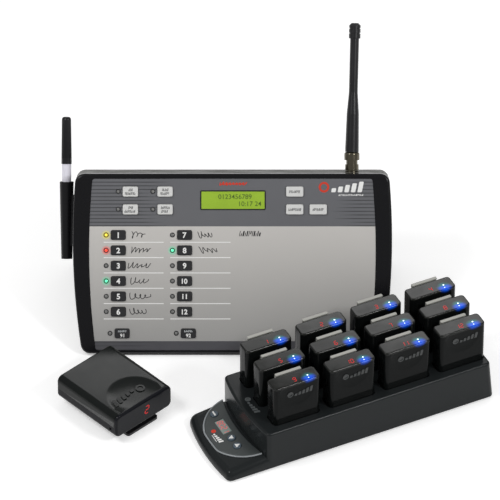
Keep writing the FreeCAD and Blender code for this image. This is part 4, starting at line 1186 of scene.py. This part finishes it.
def segment_figure(name: str, figure: str, high: float, thick: float = FILM) -> Workpiece:
    """A seven-segment figure lying on the origin and facing up.

    Args:
        name: name of the piece.
        figure: the digits, 0 to 9.
        high: height of a digit.
        thick: how far the segments stand up.

    Returns:
        The lit segments as one mesh.
    """
    lit = {"0": "abcdef", "1": "bc", "2": "abged", "3": "abgcd", "4": "fgbc", "5": "afgcd",
           "6": "afgedc", "7": "abc", "8": "abcdefg", "9": "abcdfg"}
    wide, stroke = high * 0.52, high * 0.13
    ways = {"a": (0, 1, 0), "g": (0, 0, 0), "d": (0, -1, 0), "f": (-1, 0.5, 1), "b": (1, 0.5, 1),
            "e": (-1, -0.5, 1), "c": (1, -0.5, 1)}
    bars = []
    for place, digit in enumerate(figure):
        shift = (place - (len(figure) - 1) / 2) * wide * 1.55
        for segment in lit[digit]:
            x, y, stands = ways[segment]
            x, y = x * wide / 2 + shift, y * high / 2
            reach = (high / 4 if stands else wide / 2) - stroke * 0.35
            half = (stroke / 2, reach) if stands else (reach, stroke / 2)
            bar = Workpiece.block(name + "_bar", (x - half[0], y - half[1], 0),
                                  (x + half[0], y + half[1], thick))
            bars.append(bar.bevel(upright, stroke * 0.42, 1))
    return Workpiece.gather(name, bars).move(slanted(0.12))


@dataclass(frozen=True)
class SignalMark:
    """A plain mark, a ring beside growing slanted bars, laid out in shares of its width."""

    wide: float
    rise: float = FILM
    ring_at: float = -0.38
    ring_radius: float = 0.115
    ring_band: float = 0.045
    ring_sunk: float = 0.8
    bar_count: int = 5
    bar_left: float = -0.205
    bar_low: float = -0.11
    bar_wide: float = 0.098
    bar_pitch: float = 0.142
    bar_tall: float = 0.09
    bar_step: float = 0.035
    bar_corner: float = 0.0196
    lean: float = 0.2

    def ring(self, name: str) -> Workpiece:
        """The ring, at the left of the mark.

        Args:
            name: name of the piece.

        Returns:
            The ring.
        """
        centre = (self.wide * self.ring_at, 0, 0)
        ring = Workpiece.round(name, centre, self.wide * self.ring_radius, self.rise, 28)
        ring.inset(facing(2, 1), self.wide * self.ring_band)
        return ring.extrude(round_top, (0, 0, -self.rise * self.ring_sunk))

    def bars(self, name: str) -> Workpiece:
        """The growing bars, at the right of the mark.

        Args:
            name: name of the piece.

        Returns:
            The bars as one mesh.
        """
        bars = []
        for number in range(self.bar_count):
            left, low = self.wide * (self.bar_left + number * self.bar_pitch), self.wide * self.bar_low
            right = left + self.wide * self.bar_wide
            top = low + self.wide * (self.bar_tall + self.bar_step * number)
            bar = Workpiece.block(name + "_bar", (left, low, 0), (right, top, self.rise))
            bars.append(bar.bevel(upright, self.wide * self.bar_corner, 2))
        return Workpiece.gather(name, bars).move(slanted(self.lean))

    def whole(self, name: str) -> Workpiece:
        """Ring and bars as one mesh, on the origin and facing up."""
        return Workpiece.gather(name, [self.ring(name + "_ring"), self.bars(name + "_bars")])

    def print_on(self, name: str, slot: str, place: Matrix) -> None:
        """Prints the ring in red and the bars in white.

        Args:
            name: name of the mark.
            slot: material slot of the record that the print belongs to.
            place: frame of the mark, with z pointing out.
        """
        self.ring(name + "_ring").dress(Finish.RED_INK, BODY, slot, place=place)
        self.bars(name + "_bars").dress(Finish.WHITE_INK, BODY, slot, place=place)


@dataclass
class PowerJack:
    """A round power socket: a cup behind a small plate, with a pin in it."""

    cup_radius: float = 0.00287
    cup_deep: float = 0.0092
    cup_lip: float = 0.0004
    plate_half: tuple[float, float] = (0.0045, 0.0055)
    plate_corner: float = 0.0006
    plate_gap: float = 0.00002
    plate_out: float = 0.0003
    mouth_radius: float = 0.0027
    pin_radius: float = 0.00095
    pin_foot: float = -0.0086
    pin_long: float = 0.0074
    slot: str = "board_green"

    def build(self, name: str, place: Matrix) -> None:
        """Dresses the socket in its wall.

        Args:
            name: name of the socket.
            place: frame at the socket's mouth, with z pointing out.
        """
        wide, high = self.plate_half
        cup = Workpiece.round(name + "_cup", (0, 0, -self.cup_deep), self.cup_radius,
                              self.cup_deep + 0.0001)
        cup.inset(facing(2, 1), self.cup_lip).extrude(round_top, (0, 0, self.cup_lip - self.cup_deep))
        plate = Workpiece.block(name + "_plate", (-wide, -high, self.plate_gap),
                                (wide, high, self.plate_out))
        plate.bevel(upright, self.plate_corner, 2)
        plate.carve(Workpiece.round("hole", (0, 0, -0.001), self.mouth_radius, 0.003))
        plate.soften(0.00008, 1).join([cup]).dress(Finish.HOLDER, BODY, self.slot, place=place)
        pin = Workpiece.round(name + "_pin", (0, 0, self.pin_foot), self.pin_radius, self.pin_long, 16)
        pin.bevel(all_above(-0.0015), 0.0004).dress(Finish.SCREW, BODY, self.slot, place=place)


@dataclass
class Console:
    """The call console: face sheet, keys, display, lamps, antenna and marker.

    Places are x and y on the sloping face, and lifts are heights out of it.
    """

    number_left: float = -0.1162
    number_column: float = 0.0675
    number_rise: float = 0.1214
    number_row: float = 0.01569
    rows: int = 6
    number_lift: float = 0.0013
    figure_high: tuple[float, float] = (0.0054, 0.0049)
    figure_bold: float = 0.045
    special_keys: tuple[tuple[str, str, float, float], ...] = (
        ("key_91", "91", -0.1124, 0.0208), ("key_92", "92", -0.0449, 0.0208))
    special_high: float = 0.0036
    special_bold: float = 0.03
    special_drop: float = 0.0021
    special_rise: float = 0.0023
    header_keys: tuple[tuple[float, float], ...] = (
        (-0.1038, 0.1658), (-0.1038, 0.1476), (-0.0685, 0.1658), (-0.0685, 0.1476),
        (0.0634, 0.1658), (0.0634, 0.1476), (0.0873, 0.1476))
    header_rows: tuple[tuple[float, ...], ...] = (
        (0.0044, 0.0104), (0.0044, 0.0112), (0.0066, 0.0088), (0.0088, 0.0062),
        (0.0112,), (0.0126,), (0.0110,))
    header_lift: float = 0.0019
    lamp_offset: float = 0.0124
    lamp_radius: float = 0.0023
    lamp_band: float = 0.0007
    dome_radius: float = 0.00155
    dome_step: float = 0.0005
    sheet_top: float = -0.0004
    sheet_bite: float = 0.00003
    display_middle: tuple[float, float] = (0.0006, 0.1569)
    display_size: tuple[float, float] = (0.0666, 0.020)
    display_rim: float = 0.0011
    display_top: float = -0.0001
    glass_top: float = -0.00055
    display_rows: tuple[tuple[str, str, float, float], ...] = (
        ("display_upper_row", "0123456789", 0.002, 0.0036),
        ("display_lower_row", "10:17 24", 0.0175, -0.0036))
    rule_spans: tuple[tuple[float, float], ...] = ((-0.1312, -0.0700), (-0.0634, -0.0019))
    rule_rise: float = 0.1140
    rule_half: float = 0.00045
    squiggles: tuple[tuple[float, int, float, int], ...] = (
        (-0.0965, 0, 0.01404, 3), (-0.0940, 1, 0.01944, 5), (-0.0955, 2, 0.02268, 5),
        (-0.0950, 3, 0.01728, 4), (-0.0940, 4, 0.02052, 4), (-0.0960, 5, 0.0162, 4),
        (-0.0275, 0, 0.01404, 4), (-0.0240, 1, 0.01836, 4))
    squiggle_high: float = 0.0074
    jack: Point = (0.07, 0.145049, 0.0295)

    def number_keys(self) -> list[tuple[str, str, float, float]]:
        """Node, figure and place of each number key.

        Returns:
            A row for each key: node, figure, x and y on the face.
        """
        keys = [("key_%02d" % (column * self.rows + row + 1), str(column * self.rows + row + 1),
                 self.number_left + column * self.number_column, self.number_rise - row * self.number_row)
                for column in range(2) for row in range(self.rows)]
        return keys + list(self.special_keys)

    def on_key(self, piece: Workpiece, finish: Finish, node: str, slot: str, place: Point) -> None:
        """Prints a piece on the top of a key.

        Args:
            piece: the print, on the origin.
            finish: its ink.
            node: the key's node.
            slot: the key's material slot.
            place: where it goes on the face, with the key's lift.
        """
        x, y, lift = place
        piece.dress(finish, node + "_cap", slot, place=FACE @ at(x, y, lift - BITE))

    def on_sheet(self, piece: Workpiece, finish: Finish, x: float, y: float) -> None:
        """Prints a piece on the face sheet."""
        piece.dress(finish, BODY, "face_plate", place=FACE @ at(x, y, self.sheet_top - self.sheet_bite))

    def dress_keys(self) -> None:
        """Prints the figures on the number keys and the small marks on the header keys."""
        for node, figure, x, y in self.number_keys():
            special = (node, figure, x, y) in self.special_keys
            high = self.special_high if special else self.figure_high[len(figure) - 1]
            bold = self.special_bold if special else self.figure_bold
            figures = Workpiece.letters(node + "_figure", figure, high, bold)
            low = y - self.special_drop if special else y
            self.on_key(figures, Finish.WHITE_INK, node, "number_key_black", (x, low, self.number_lift))
            if special:
                legend = small_print(node + "_legend", [0.0084], 0.0020, 0.002, 0.0005,
                                     len(node) + int(figure))
                self.on_key(legend, Finish.PALE_INK, node, "number_key_black",
                            (x, y + self.special_rise, self.number_lift))
        for number, ((x, y), rows) in enumerate(zip(self.header_keys, self.header_rows), start=1):
            node = "header_key_%d" % number
            legend = small_print(node + "_legend", rows, 0.0028, 0.0038, 0.00052, 3 * number)
            self.on_key(legend, Finish.LEGEND_INK, node, "header_key_grey", (x, y, self.header_lift))

    def build_display(self) -> None:
        """Frame, glass and figures of the display, in place of its plain solids."""
        x, y = self.display_middle
        wide, high = (side / 2 for side in self.display_size)
        case = Workpiece.block("display_frame", (x - wide, y - high, -0.009),
                               (x + wide, y + high, self.display_top))
        case.bevel(upright, 0.0014, 4).inset(facing(2, 1), self.display_rim)
        case.extrude(top_over(0.0005), (0, 0, -0.0006)).soften(0.00025)
        case.dress(Finish.DISPLAY_FRAME, BODY, "display_green", ["display_module"], FACE)
        wide, high = wide - self.display_rim * 0.9, high - self.display_rim * 0.9
        glass = Workpiece.block("display_glass", (x - wide, y - high, -0.002),
                                (x + wide, y + high, self.glass_top))
        glass.bevel(upright, 0.0006).soften(0.00008, 1)
        glass.dress(Finish.DISPLAY_GLASS, BODY, "display_green", place=FACE)
        for name, figures, shift, rise in self.display_rows:
            row = Workpiece.letters(name, figures, 0.0048, 0.004, 0.00008)
            row.dress(Finish.OLIVE_INK, BODY, "display_green",
                      place=FACE @ at(x + shift, y + rise, self.glass_top + 0.00001))

    def build_lamps(self) -> None:
        """A ring and a dome for each lamp; four lamps are lit."""
        lit = {"key_01": Finish.YELLOW_LAMP, "key_02": Finish.RED_LAMP,
               "key_04": Finish.GREEN_LAMP, "key_08": Finish.GREEN_LAMP}
        spots = [("header_%d" % (number + 1), x, y) for number, (x, y) in enumerate(self.header_keys[:4])]
        spots += [(node, x, y) for node, _, x, y in self.number_keys()]
        for name, x, y in spots:
            place = FACE @ at(x - self.lamp_offset, y, self.sheet_top)
            ring = Workpiece.round(name + "_lamp_ring", (0, 0, -0.002), self.lamp_radius, 0.0023, 28)
            ring.inset(facing(2, 1), self.lamp_band).extrude(top_over(0.000006), (0, 0, -0.0007))
            ring.soften(0.0001).dress(Finish.LAMP_RING, BODY, "lamp_lens", place=place)
            dome = Workpiece.round(name + "_lamp_dome", (0, 0, -0.0015), self.dome_radius, 0.0014, 24)
            dome.inset(facing(2, 1), self.dome_step, 0.0003)
            dome.inset(top_over(0.000002), self.dome_step, 0.00015)
            dome.dress(lit.get(name, Finish.LAMP_OFF), BODY, "lamp_lens", place=place)
        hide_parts("status_leds")

    def print_sheet(self) -> None:
        """Rules, squiggles and the plain marks printed on the face sheet."""
        rules = []
        for left, right in self.rule_spans:
            for row in range(self.rows):
                y = self.rule_rise - row * self.number_row
                rule = Workpiece.block("rule", (left, y - self.rule_half, 0),
                                       (right, y + self.rule_half, 0.00009))
                rules.append(rule.bevel(upright, 0.0003, 2))
        self.on_sheet(Workpiece.gather("sheet_rules", rules), Finish.WHITE_INK, 0, 0)
        for number, (x, row, wide, waves) in enumerate(self.squiggles, start=1):
            line = scribble("squiggle_%d" % number, wide, self.squiggle_high, waves, number)
            self.on_sheet(line, Finish.SCRIPT_INK, x, self.number_rise - row * self.number_row)
        heading = small_print("notes_heading", [0.0215], 0.0054, 0.006, 0.00105, 2)
        self.on_sheet(heading, Finish.SCRIPT_INK, 0.0180, 0.1228)
        flourish = scribble("header_flourish", 0.027, 0.0042, 8, 3, 0.00062)
        self.on_sheet(flourish, Finish.RED_INK, 0.0003, 0.1737)
        mark_spot = FACE @ at(0.1110, 0.1702, self.sheet_top - self.sheet_bite)
        SignalMark(0.047).print_on("header_mark", "face_plate", mark_spot)
        under = small_print("header_mark_row", [0.0250], 0.0019, 0.002, 0.0006, 5)
        self.on_sheet(under, Finish.WHITE_INK, 0.1205, 0.1622)

    def build(self) -> None:
        """Dresses the whole console."""
        paint_nodes({
            "console_rear_shell": Finish.REAR_SHELL, "console_front_bezel": Finish.BEZEL,
            "console_overlay": Finish.FACEPLATE, "main_board": Finish.BOARD,
            "antenna_jack": Finish.NICKEL_PLATE, "antenna_nut": Finish.NICKEL_PLATE,
            "antenna_whip": Finish.WHIP, "marker_holder": Finish.HOLDER,
            "marker_barrel": Finish.MARKER_BARREL, "marker_cap": Finish.MARKER_CAP,
            "rubber_feet": Finish.FOOT, "case_screws": Finish.SCREW})
        paint_nodes({node: Finish.NUMBER_KEY for node, _, _, _ in self.number_keys()})
        paint_nodes({"header_key_%d" % (number + 1): Finish.HEADER_KEY
                     for number in range(len(self.header_keys))})
        self.dress_keys()
        self.build_display()
        self.build_lamps()
        self.print_sheet()
        PowerJack().build("console_jack", at(*self.jack) @ about("X", -90))
        log.info("console dressed")


@dataclass
class PagerMaker:
    """The docked pagers: one is modelled, and the rest are copies with their own figure."""

    MAP = "pager_map"
    wide: float = 0.0515
    thick: float = 0.0183
    high: float = 0.0605
    split: float = 0.0096
    lens: float = 0.0024
    front_corner: float = 0.0045
    back_corner: float = 0.0040
    edge: float = 0.0016
    dish_radius: float = 0.020
    dish_deep: float = 0.0008
    dish_rise: float = 0.051
    clip_wide: float = 0.028
    clip_back: float = 0.0241
    well_left: float = 0.0115
    well_front: float = 0.0095
    well_column: float = 0.0616
    well_row: float = 0.0316
    stand: float = 0.0338
    rows: int = 3
    columns: int = 4
    seam: float = 0.00015
    arris: float = 0.00022
    mark: SignalMark = SignalMark(0.029, 0.0007)
    mark_across: float = 0.003
    mark_drop: float = 0.0125
    sparks: tuple[tuple[float, float, float], ...] = (
        (0.0142, 0.0072, 0.0009), (0.0136, 0.0034, 0.00062))
    figure_high: float = 0.0054
    figure_spot: tuple[float, float] = (-0.0004, 0.0066)

    def form(self) -> Workpiece:
        """The pager's whole rounded form, centred across and standing on its foot.

        Returns:
            The form.
        """
        form = Workpiece.block("pager_form", (-self.wide / 2, 0, 0),
                               (self.wide / 2, self.thick, self.high))
        form.bevel(lambda edge: upright(edge) and edge.verts[0].co.y < self.thick / 2, self.front_corner, 6)
        form.bevel(lambda edge: upright(edge) and abs(edge.verts[0].co.y - self.thick) < HAIR
                   and abs(abs(edge.verts[0].co.x) - self.wide / 2) < HAIR, self.back_corner, 7)
        form.bevel(lambda edge: all(abs(v.co.z - self.high) < HAIR for v in edge.verts)
                   or all(abs(v.co.z) < HAIR for v in edge.verts), self.edge, 4)
        return form

    def dish_cutter(self) -> Workpiece:
        """A crowned plug that leaves a shallow round dish in the front.

        Returns:
            The plug, in the pager's frame.
        """
        cutter = Workpiece.round("dish_cutter", (0, 0, -0.004), self.dish_radius, 0.004, 64)
        rings = 8
        step = self.dish_radius / (rings + 1)
        area = math.pi * self.dish_radius ** 2
        for ring in range(rings):
            outer = 1 - ring * step / self.dish_radius
            inner = outer - step / self.dish_radius
            cutter.inset(lambda face: face.normal.z > 0.9 and len(face.verts) > 4
                         and face.calc_area() < area * outer ** 2 * 1.02,
                         step, self.dish_deep * (outer ** 4 - inner ** 4))
        return cutter.move(at(0, 0, self.dish_rise) @ about("X", -90))

    def lay_map(self, piece: Workpiece) -> None:
        """Gives a piece its map in millimetres, the front folded down from the top's front edge.

        Args:
            piece: a piece in the pager's frame.
        """
        layer = piece.thing.data.uv_layers.new(name=self.MAP)
        vertices = piece.thing.data.vertices
        for loop in piece.thing.data.loops:
            spot = vertices[loop.vertex_index].co
            layer.data[loop.index].uv = (spot.x / MM, (spot.y - (self.high - spot.z)) / MM)

    def clip(self) -> Workpiece:
        """The belt clip: a plate behind the pager, folded forward over the gap at its top.

        Returns:
            The clip.
        """
        top = self.high - 0.001
        plate = Workpiece.block("pager_clip", (-self.clip_wide / 2, self.clip_back - 0.002, top - 0.042),
                                (self.clip_wide / 2, self.clip_back, top - 0.0016))
        plate.extrude(facing(2, 1), (0, 0, 0.0016))
        plate.extrude(lambda face: facing(1, -1)(face) and face.calc_center_median().z > top - 0.0016,
                      (0, -0.0018, 0))
        return plate.soften(0.0005, 3)

    def master(self) -> dict[str, Workpiece]:
        """The pieces of one pager in its own frame.

        Returns:
            Each piece by the part it is.
        """
        form = self.form()
        split = self.high - self.lens
        lens = form.twin("pager_lens_master").bisect((0, 0, split), (0, 0, -1))
        body = form.bisect((0, 0, split - self.seam), (0, 0, 1))
        rear = body.twin("pager_rear_master").bisect((0, self.split + self.seam, 0), (0, -1, 0))
        front = body.bisect((0, self.split, 0), (0, 1, 0))
        front.thing.name = "pager_front_master"
        front.carve(self.dish_cutter())
        mark = self.mark.whole("pager_mark_master")
        mark.move(at(self.mark_across, self.dish_deep, self.high - self.mark_drop) @ about("X", 90))
        for piece in (lens, front):
            piece.soften(self.arris)
            self.lay_map(piece)
        rear.soften(self.arris)
        sparks = []
        for across, back, radius in self.sparks:
            spot = (across, back, self.high - 0.0003)
            spark = Workpiece.round("pager_spark_master", spot, radius, 0.0005, 16)
            sparks.append(spark.bevel(all_above(self.high), 0.0003, 2))
        return {"front": front, "rear": rear, "lens": lens, "clip": self.clip(), "mark": mark,
                "spark": sparks[0].join(sparks[1:])}

    def build(self) -> None:
        """Models the pager once and stands its copies in the wells."""
        master = self.master()
        finishes = {"front": Finish.PAGER_SHELL, "rear": Finish.PAGER_REAR, "lens": Finish.PAGER_LENS,
                    "clip": Finish.CLIP, "mark": Finish.PAGER_MARK, "spark": Finish.SPARK}
        for number in range(self.rows * self.columns):
            row, column = divmod(number, self.columns)
            name = "docked_pager_%02d" % (number + 1)
            x = self.well_left + column * self.well_column + self.wide / 2
            y = self.well_front + (self.rows - 1 - row) * self.well_row
            place = RACK @ at(x, y, self.stand)
            for part, piece in master.items():
                stands_for = [name] if part == "front" else []
                copy = piece.twin("%s_%s" % (name, part))
                copy.dress(finishes[part], name + "_body", "pager_gloss", stands_for, place)
            figure = segment_figure(name + "_figure", str(number + 1), self.figure_high)
            spot = place @ at(*self.figure_spot, self.high - BITE)
            figure.dress(Finish.RED_DIGIT, name + "_body", "pager_gloss", place=spot)
        for piece in master.values():
            bpy.data.objects.remove(piece.thing)
        log.info("docked pagers built")


@dataclass
class Rack:
    """The charging rack with its control panel; panel places are x and y in the panel's frame."""

    row: float = -0.0190
    proud: float = 0.0012
    key_lift: float = 0.0010
    readout_y: float = 0.064
    readout_sunk: float = 0.0005
    figure_high: float = 0.0058
    round_keys: tuple[tuple[str, float], ...] = (
        ("round_key_dash", 0.0845), ("round_key_up", 0.0445), ("round_key_down", 0.0315))
    dash_half: tuple[float, float] = (0.0008, 0.0033)
    arrow_radius: float = 0.0032
    panel_far: tuple[tuple[float, float], ...] = ((-0.0024, 0.098), (-0.03196, 0.0795), (-0.0385, 0.0637))
    panel_near: tuple[tuple[float, float], ...] = ((-0.0385, 0.039), (-0.0246, 0.0192), (-0.0024, 0.010))
    rim_half: float = 0.0009
    rim_rise: float = 0.0004
    mark_spot: tuple[float, float] = (-0.0302, 0.0547)
    deck_spot: Point = (0.0055, 0.0475, 0.0469)
    jack: Point = (0.175977, 0.000644, 0.0191)

    def build_rim(self) -> None:
        """The bead round the panel's curved side: a real raised edge whose pale grey is a painted
        highlight.
        """
        points = [*arc_points(*self.panel_far, self.rim_half, 14),
                  *arc_points(*self.panel_near, self.rim_half, 14)]
        rim = bead("panel_rim_highlight", [(x, y, self.rim_rise) for x, y in points], self.rim_half)
        rim.dress(Finish.PANEL_RIM_HIGHLIGHT, BODY, "panel_grey", place=PANEL)

    def symbol(self, node: str) -> Workpiece:
        """The dash or the arrow on a round key.

        Args:
            node: the key's node.

        Returns:
            The symbol, on the origin.
        """
        name = node + "_symbol"
        if node == "round_key_dash":
            wide, high = self.dash_half
            return Workpiece.block(name, (-wide, -high, 0), (wide, high, FILM)).bevel(upright, 0.0005, 2)
        arrow = Workpiece.disc(name, (0, 0, 0), self.arrow_radius, 3)
        arrow.extrude(lambda _: True, (0, 0, FILM))
        return arrow.move(about("Z", 90 if node == "round_key_up" else -90))

    def dress_panel(self) -> None:
        """Figures behind the window, the symbols on the keys and the plain marks."""
        aside = about("Z", -90)
        window = PANEL @ at(self.row, self.readout_y, self.proud - self.readout_sunk) @ aside
        figures = segment_figure("readout_figures", "8021", self.figure_high, 0.00008)
        figures.dress(Finish.WINDOW_DIGIT, BODY, "readout_window", place=window)
        for node, y in self.round_keys:
            self.symbol(node).dress(Finish.WHITE_INK, node + "_cap", "round_key_grey",
                                    place=PANEL @ at(self.row, y, self.proud + self.key_lift - BITE))
        spot = PANEL @ at(*self.mark_spot, self.proud - BITE) @ aside
        SignalMark(0.0215).print_on("panel_mark", "panel_grey", spot)
        under = Workpiece.block("panel_mark_line", (-0.0040, -0.0042, 0), (0.0070, -0.0036, FILM))
        under.bevel(upright, 0.0002, 2).dress(Finish.WHITE_INK, BODY, "panel_grey", place=spot)
        # the deck's emboss is painted lighter than the housing, a painted highlight for its glints
        emboss = SignalMark(0.0260, 0.0007).whole("deck_mark")
        emboss.dress(Finish.DECK_MARK, BODY, "rack_charcoal", place=RACK @ at(*self.deck_spot) @ aside)

    def build(self) -> None:
        """Dresses the rack."""
        paint_nodes({"rack_housing": Finish.RACK, "rack_base_plate": Finish.RACK,
                     "rack_board": Finish.BOARD, "rack_panel": Finish.PANEL,
                     "rack_display": Finish.READOUT})
        paint_nodes({node: Finish.ROUND_KEY for node, _ in self.round_keys})
        self.dress_panel()
        self.build_rim()
        PowerJack().build("rack_jack", at(*self.jack) @ RACK.to_3x3().to_4x4() @ about("X", -90))
        log.info("rack dressed")


@dataclass
class SamplePager:
    """The larger loose pager, lying on its clip; pinhole places are those of a docked pager's size."""

    factor: float = 1.47
    x: float = -0.119
    y: float = -0.084
    turn: float = 43.5
    depth: float = 0.0241
    high: float = 0.0605
    pinhole_radius: float = 0.00055
    pinhole_across: float = -0.0244
    pinholes: tuple[float, ...] = (0.0203, 0.0224, 0.0246)
    figure_high: float = 0.0090
    figure_spot: tuple[float, float] = (-0.004, 0.0125)
    body: str = "sample_pager"

    def place(self) -> Matrix:
        """The frame of the lying pager, whose own z runs to its lens end.

        Returns:
            The frame.
        """
        lying = about("Z", self.turn + 180) @ about("X", -90)
        middle = lying @ (Vector((0, self.depth, self.high / 2)) * self.factor)
        return at(self.x - middle.x, self.y - middle.y, -middle.z) @ lying

    def build(self) -> None:
        """Dresses the shells and adds the figure, the raised mark and the small openings."""
        paint_nodes({"sample_rear_shell": Finish.SAMPLE_REAR, "sample_board": Finish.BOARD,
                     "sample_belt_clip": Finish.SAMPLE_CLIP})
        place = self.place()
        grown = place @ Matrix.Scale(self.factor, 4)
        master = PagerMaker().master()
        front, lens, mark = (master.pop(part) for part in ("front", "lens", "mark"))
        for piece in master.values():
            bpy.data.objects.remove(piece.thing)
        for rise in self.pinholes:
            drill = Workpiece.round("pinhole", (0, 0, -0.001), self.pinhole_radius, 0.0032, 20)
            front.carve(drill.move(at(self.pinhole_across, 0, rise) @ about("X", -90)))
        for piece, name in ((front, "sample_front"), (lens, "sample_end"), (mark, "sample_mark")):
            piece.thing.name = name
        front.dress(Finish.SAMPLE_FRONT, self.body, "sample_gloss", ["sample_front_shell"], grown)
        lens.dress(Finish.SAMPLE_LENS, self.body, "sample_smoke", ["sample_lens"], grown)
        mark.dress(Finish.SAMPLE_FRONT, self.body, "sample_gloss", place=grown)
        spot = place @ at(*self.figure_spot, self.high * self.factor - BITE) @ about("Z", 180)
        figure = segment_figure("sample_figure", "2", self.figure_high)
        figure.dress(Finish.RED_DIGIT, self.body, "sample_smoke", place=spot)
        log.info("loose pager dressed")


@dataclass
class Studio:
    """A pale floor, soft lamps and the camera."""

    target: Point = (0.0179, 0.040, 0.103)
    elevation: float = 40.0
    distance: float = 6.0
    lens: float = 425.5
    floor_half: float = 9.0
    floor_drop: float = 0.0002
    floor_white: float = 0.38
    ambient: float = 0.44
    lamp_aim: Point = (0.03, -0.02, 0.04)
    lamps: tuple[tuple[str, Point, tuple[float, float], float], ...] = (
        ("key_lamp", (-0.9, -0.5, 1.5), (0.6, 0.4), 9.5),
        ("fill_lamp", (1.0, -0.75, 1.15), (0.3, 0.2), 8.0),
        ("back_lamp", (0.2, 1.3, 1.2), (1.4, 0.2), 3.0))

    def floor(self) -> None:
        """A pale floor that keeps the object's shadow and shows white behind it."""
        clear_selection()
        bpy.ops.mesh.primitive_plane_add(size=2 * self.floor_half, location=(0, 0, -self.floor_drop))
        ground = bpy.context.object
        ground.name = "floor"
        recipe = Recipe("floor_card")
        paths = recipe.node("ShaderNodeLightPath").outputs
        seen = recipe.math("MAXIMUM", paths["Is Camera Ray"],
                           recipe.math("MAXIMUM", paths["Is Glossy Ray"], paths["Is Transmission Ray"]))
        card = recipe.mix(recipe.noise(6, 2), (0.86, 0.86, 0.86, 1), (0.89, 0.89, 0.89, 1))
        recipe.sockets(Base_Color=card, Roughness=0.9, Specular_IOR_Level=0.0,
                       Emission_Color=(1, 1, 1, 1),
                       Emission_Strength=recipe.math("MULTIPLY", seen, self.floor_white))
        ground.data.materials.append(recipe.material)

    def lamp(self, name: str, place: Point, size: tuple[float, float], power: float) -> None:
        """A rectangular soft lamp that points at the set.

        Args:
            name: name of the lamp.
            place: where it hangs.
            size: its width and height.
            power: its power in watts.
        """
        data = bpy.data.lights.new(name, "AREA")
        data.shape = "RECTANGLE"
        data.size, data.size_y = size
        data.energy = power
        light = bpy.data.objects.new(name, data)
        bpy.context.scene.collection.objects.link(light)
        light.location = place
        aim = Vector(self.lamp_aim) - Vector(place)
        light.rotation_euler = aim.to_track_quat("-Z", "Y").to_euler()

    def build(self) -> None:
        """Sets the stage."""
        scene = bpy.context.scene
        scene.view_settings.view_transform = "Standard"
        world = bpy.data.worlds.new("studio")
        scene.world = world
        world.use_nodes = True
        sky = world.node_tree.nodes["Background"]
        sky.inputs["Color"].default_value = (1, 1, 1, 1)
        sky.inputs["Strength"].default_value = self.ambient
        self.floor()
        for lamp in self.lamps:
            self.lamp(*lamp)
        data = bpy.data.cameras.new("camera")
        data.lens = self.lens
        data.clip_start, data.clip_end = 0.1, 50
        camera = bpy.data.objects.new("camera", data)
        scene.collection.objects.link(camera)
        tilt = math.radians(self.elevation)
        back = Vector((0, -math.cos(tilt), math.sin(tilt)))
        camera.location = Vector(self.target) + back * self.distance
        camera.rotation_euler = (-back).to_track_quat("-Z", "Y").to_euler()
        scene.camera = camera
        log.info("studio set")


def main() -> None:
    """Builds the sub-assemblies in order."""
    logging.basicConfig(level=logging.INFO, format="%(name)s: %(message)s")
    Studio().build()
    Console().build()
    Rack().build()
    PagerMaker().build()
    SamplePager().build()


if __name__ == "__main__":
    main()
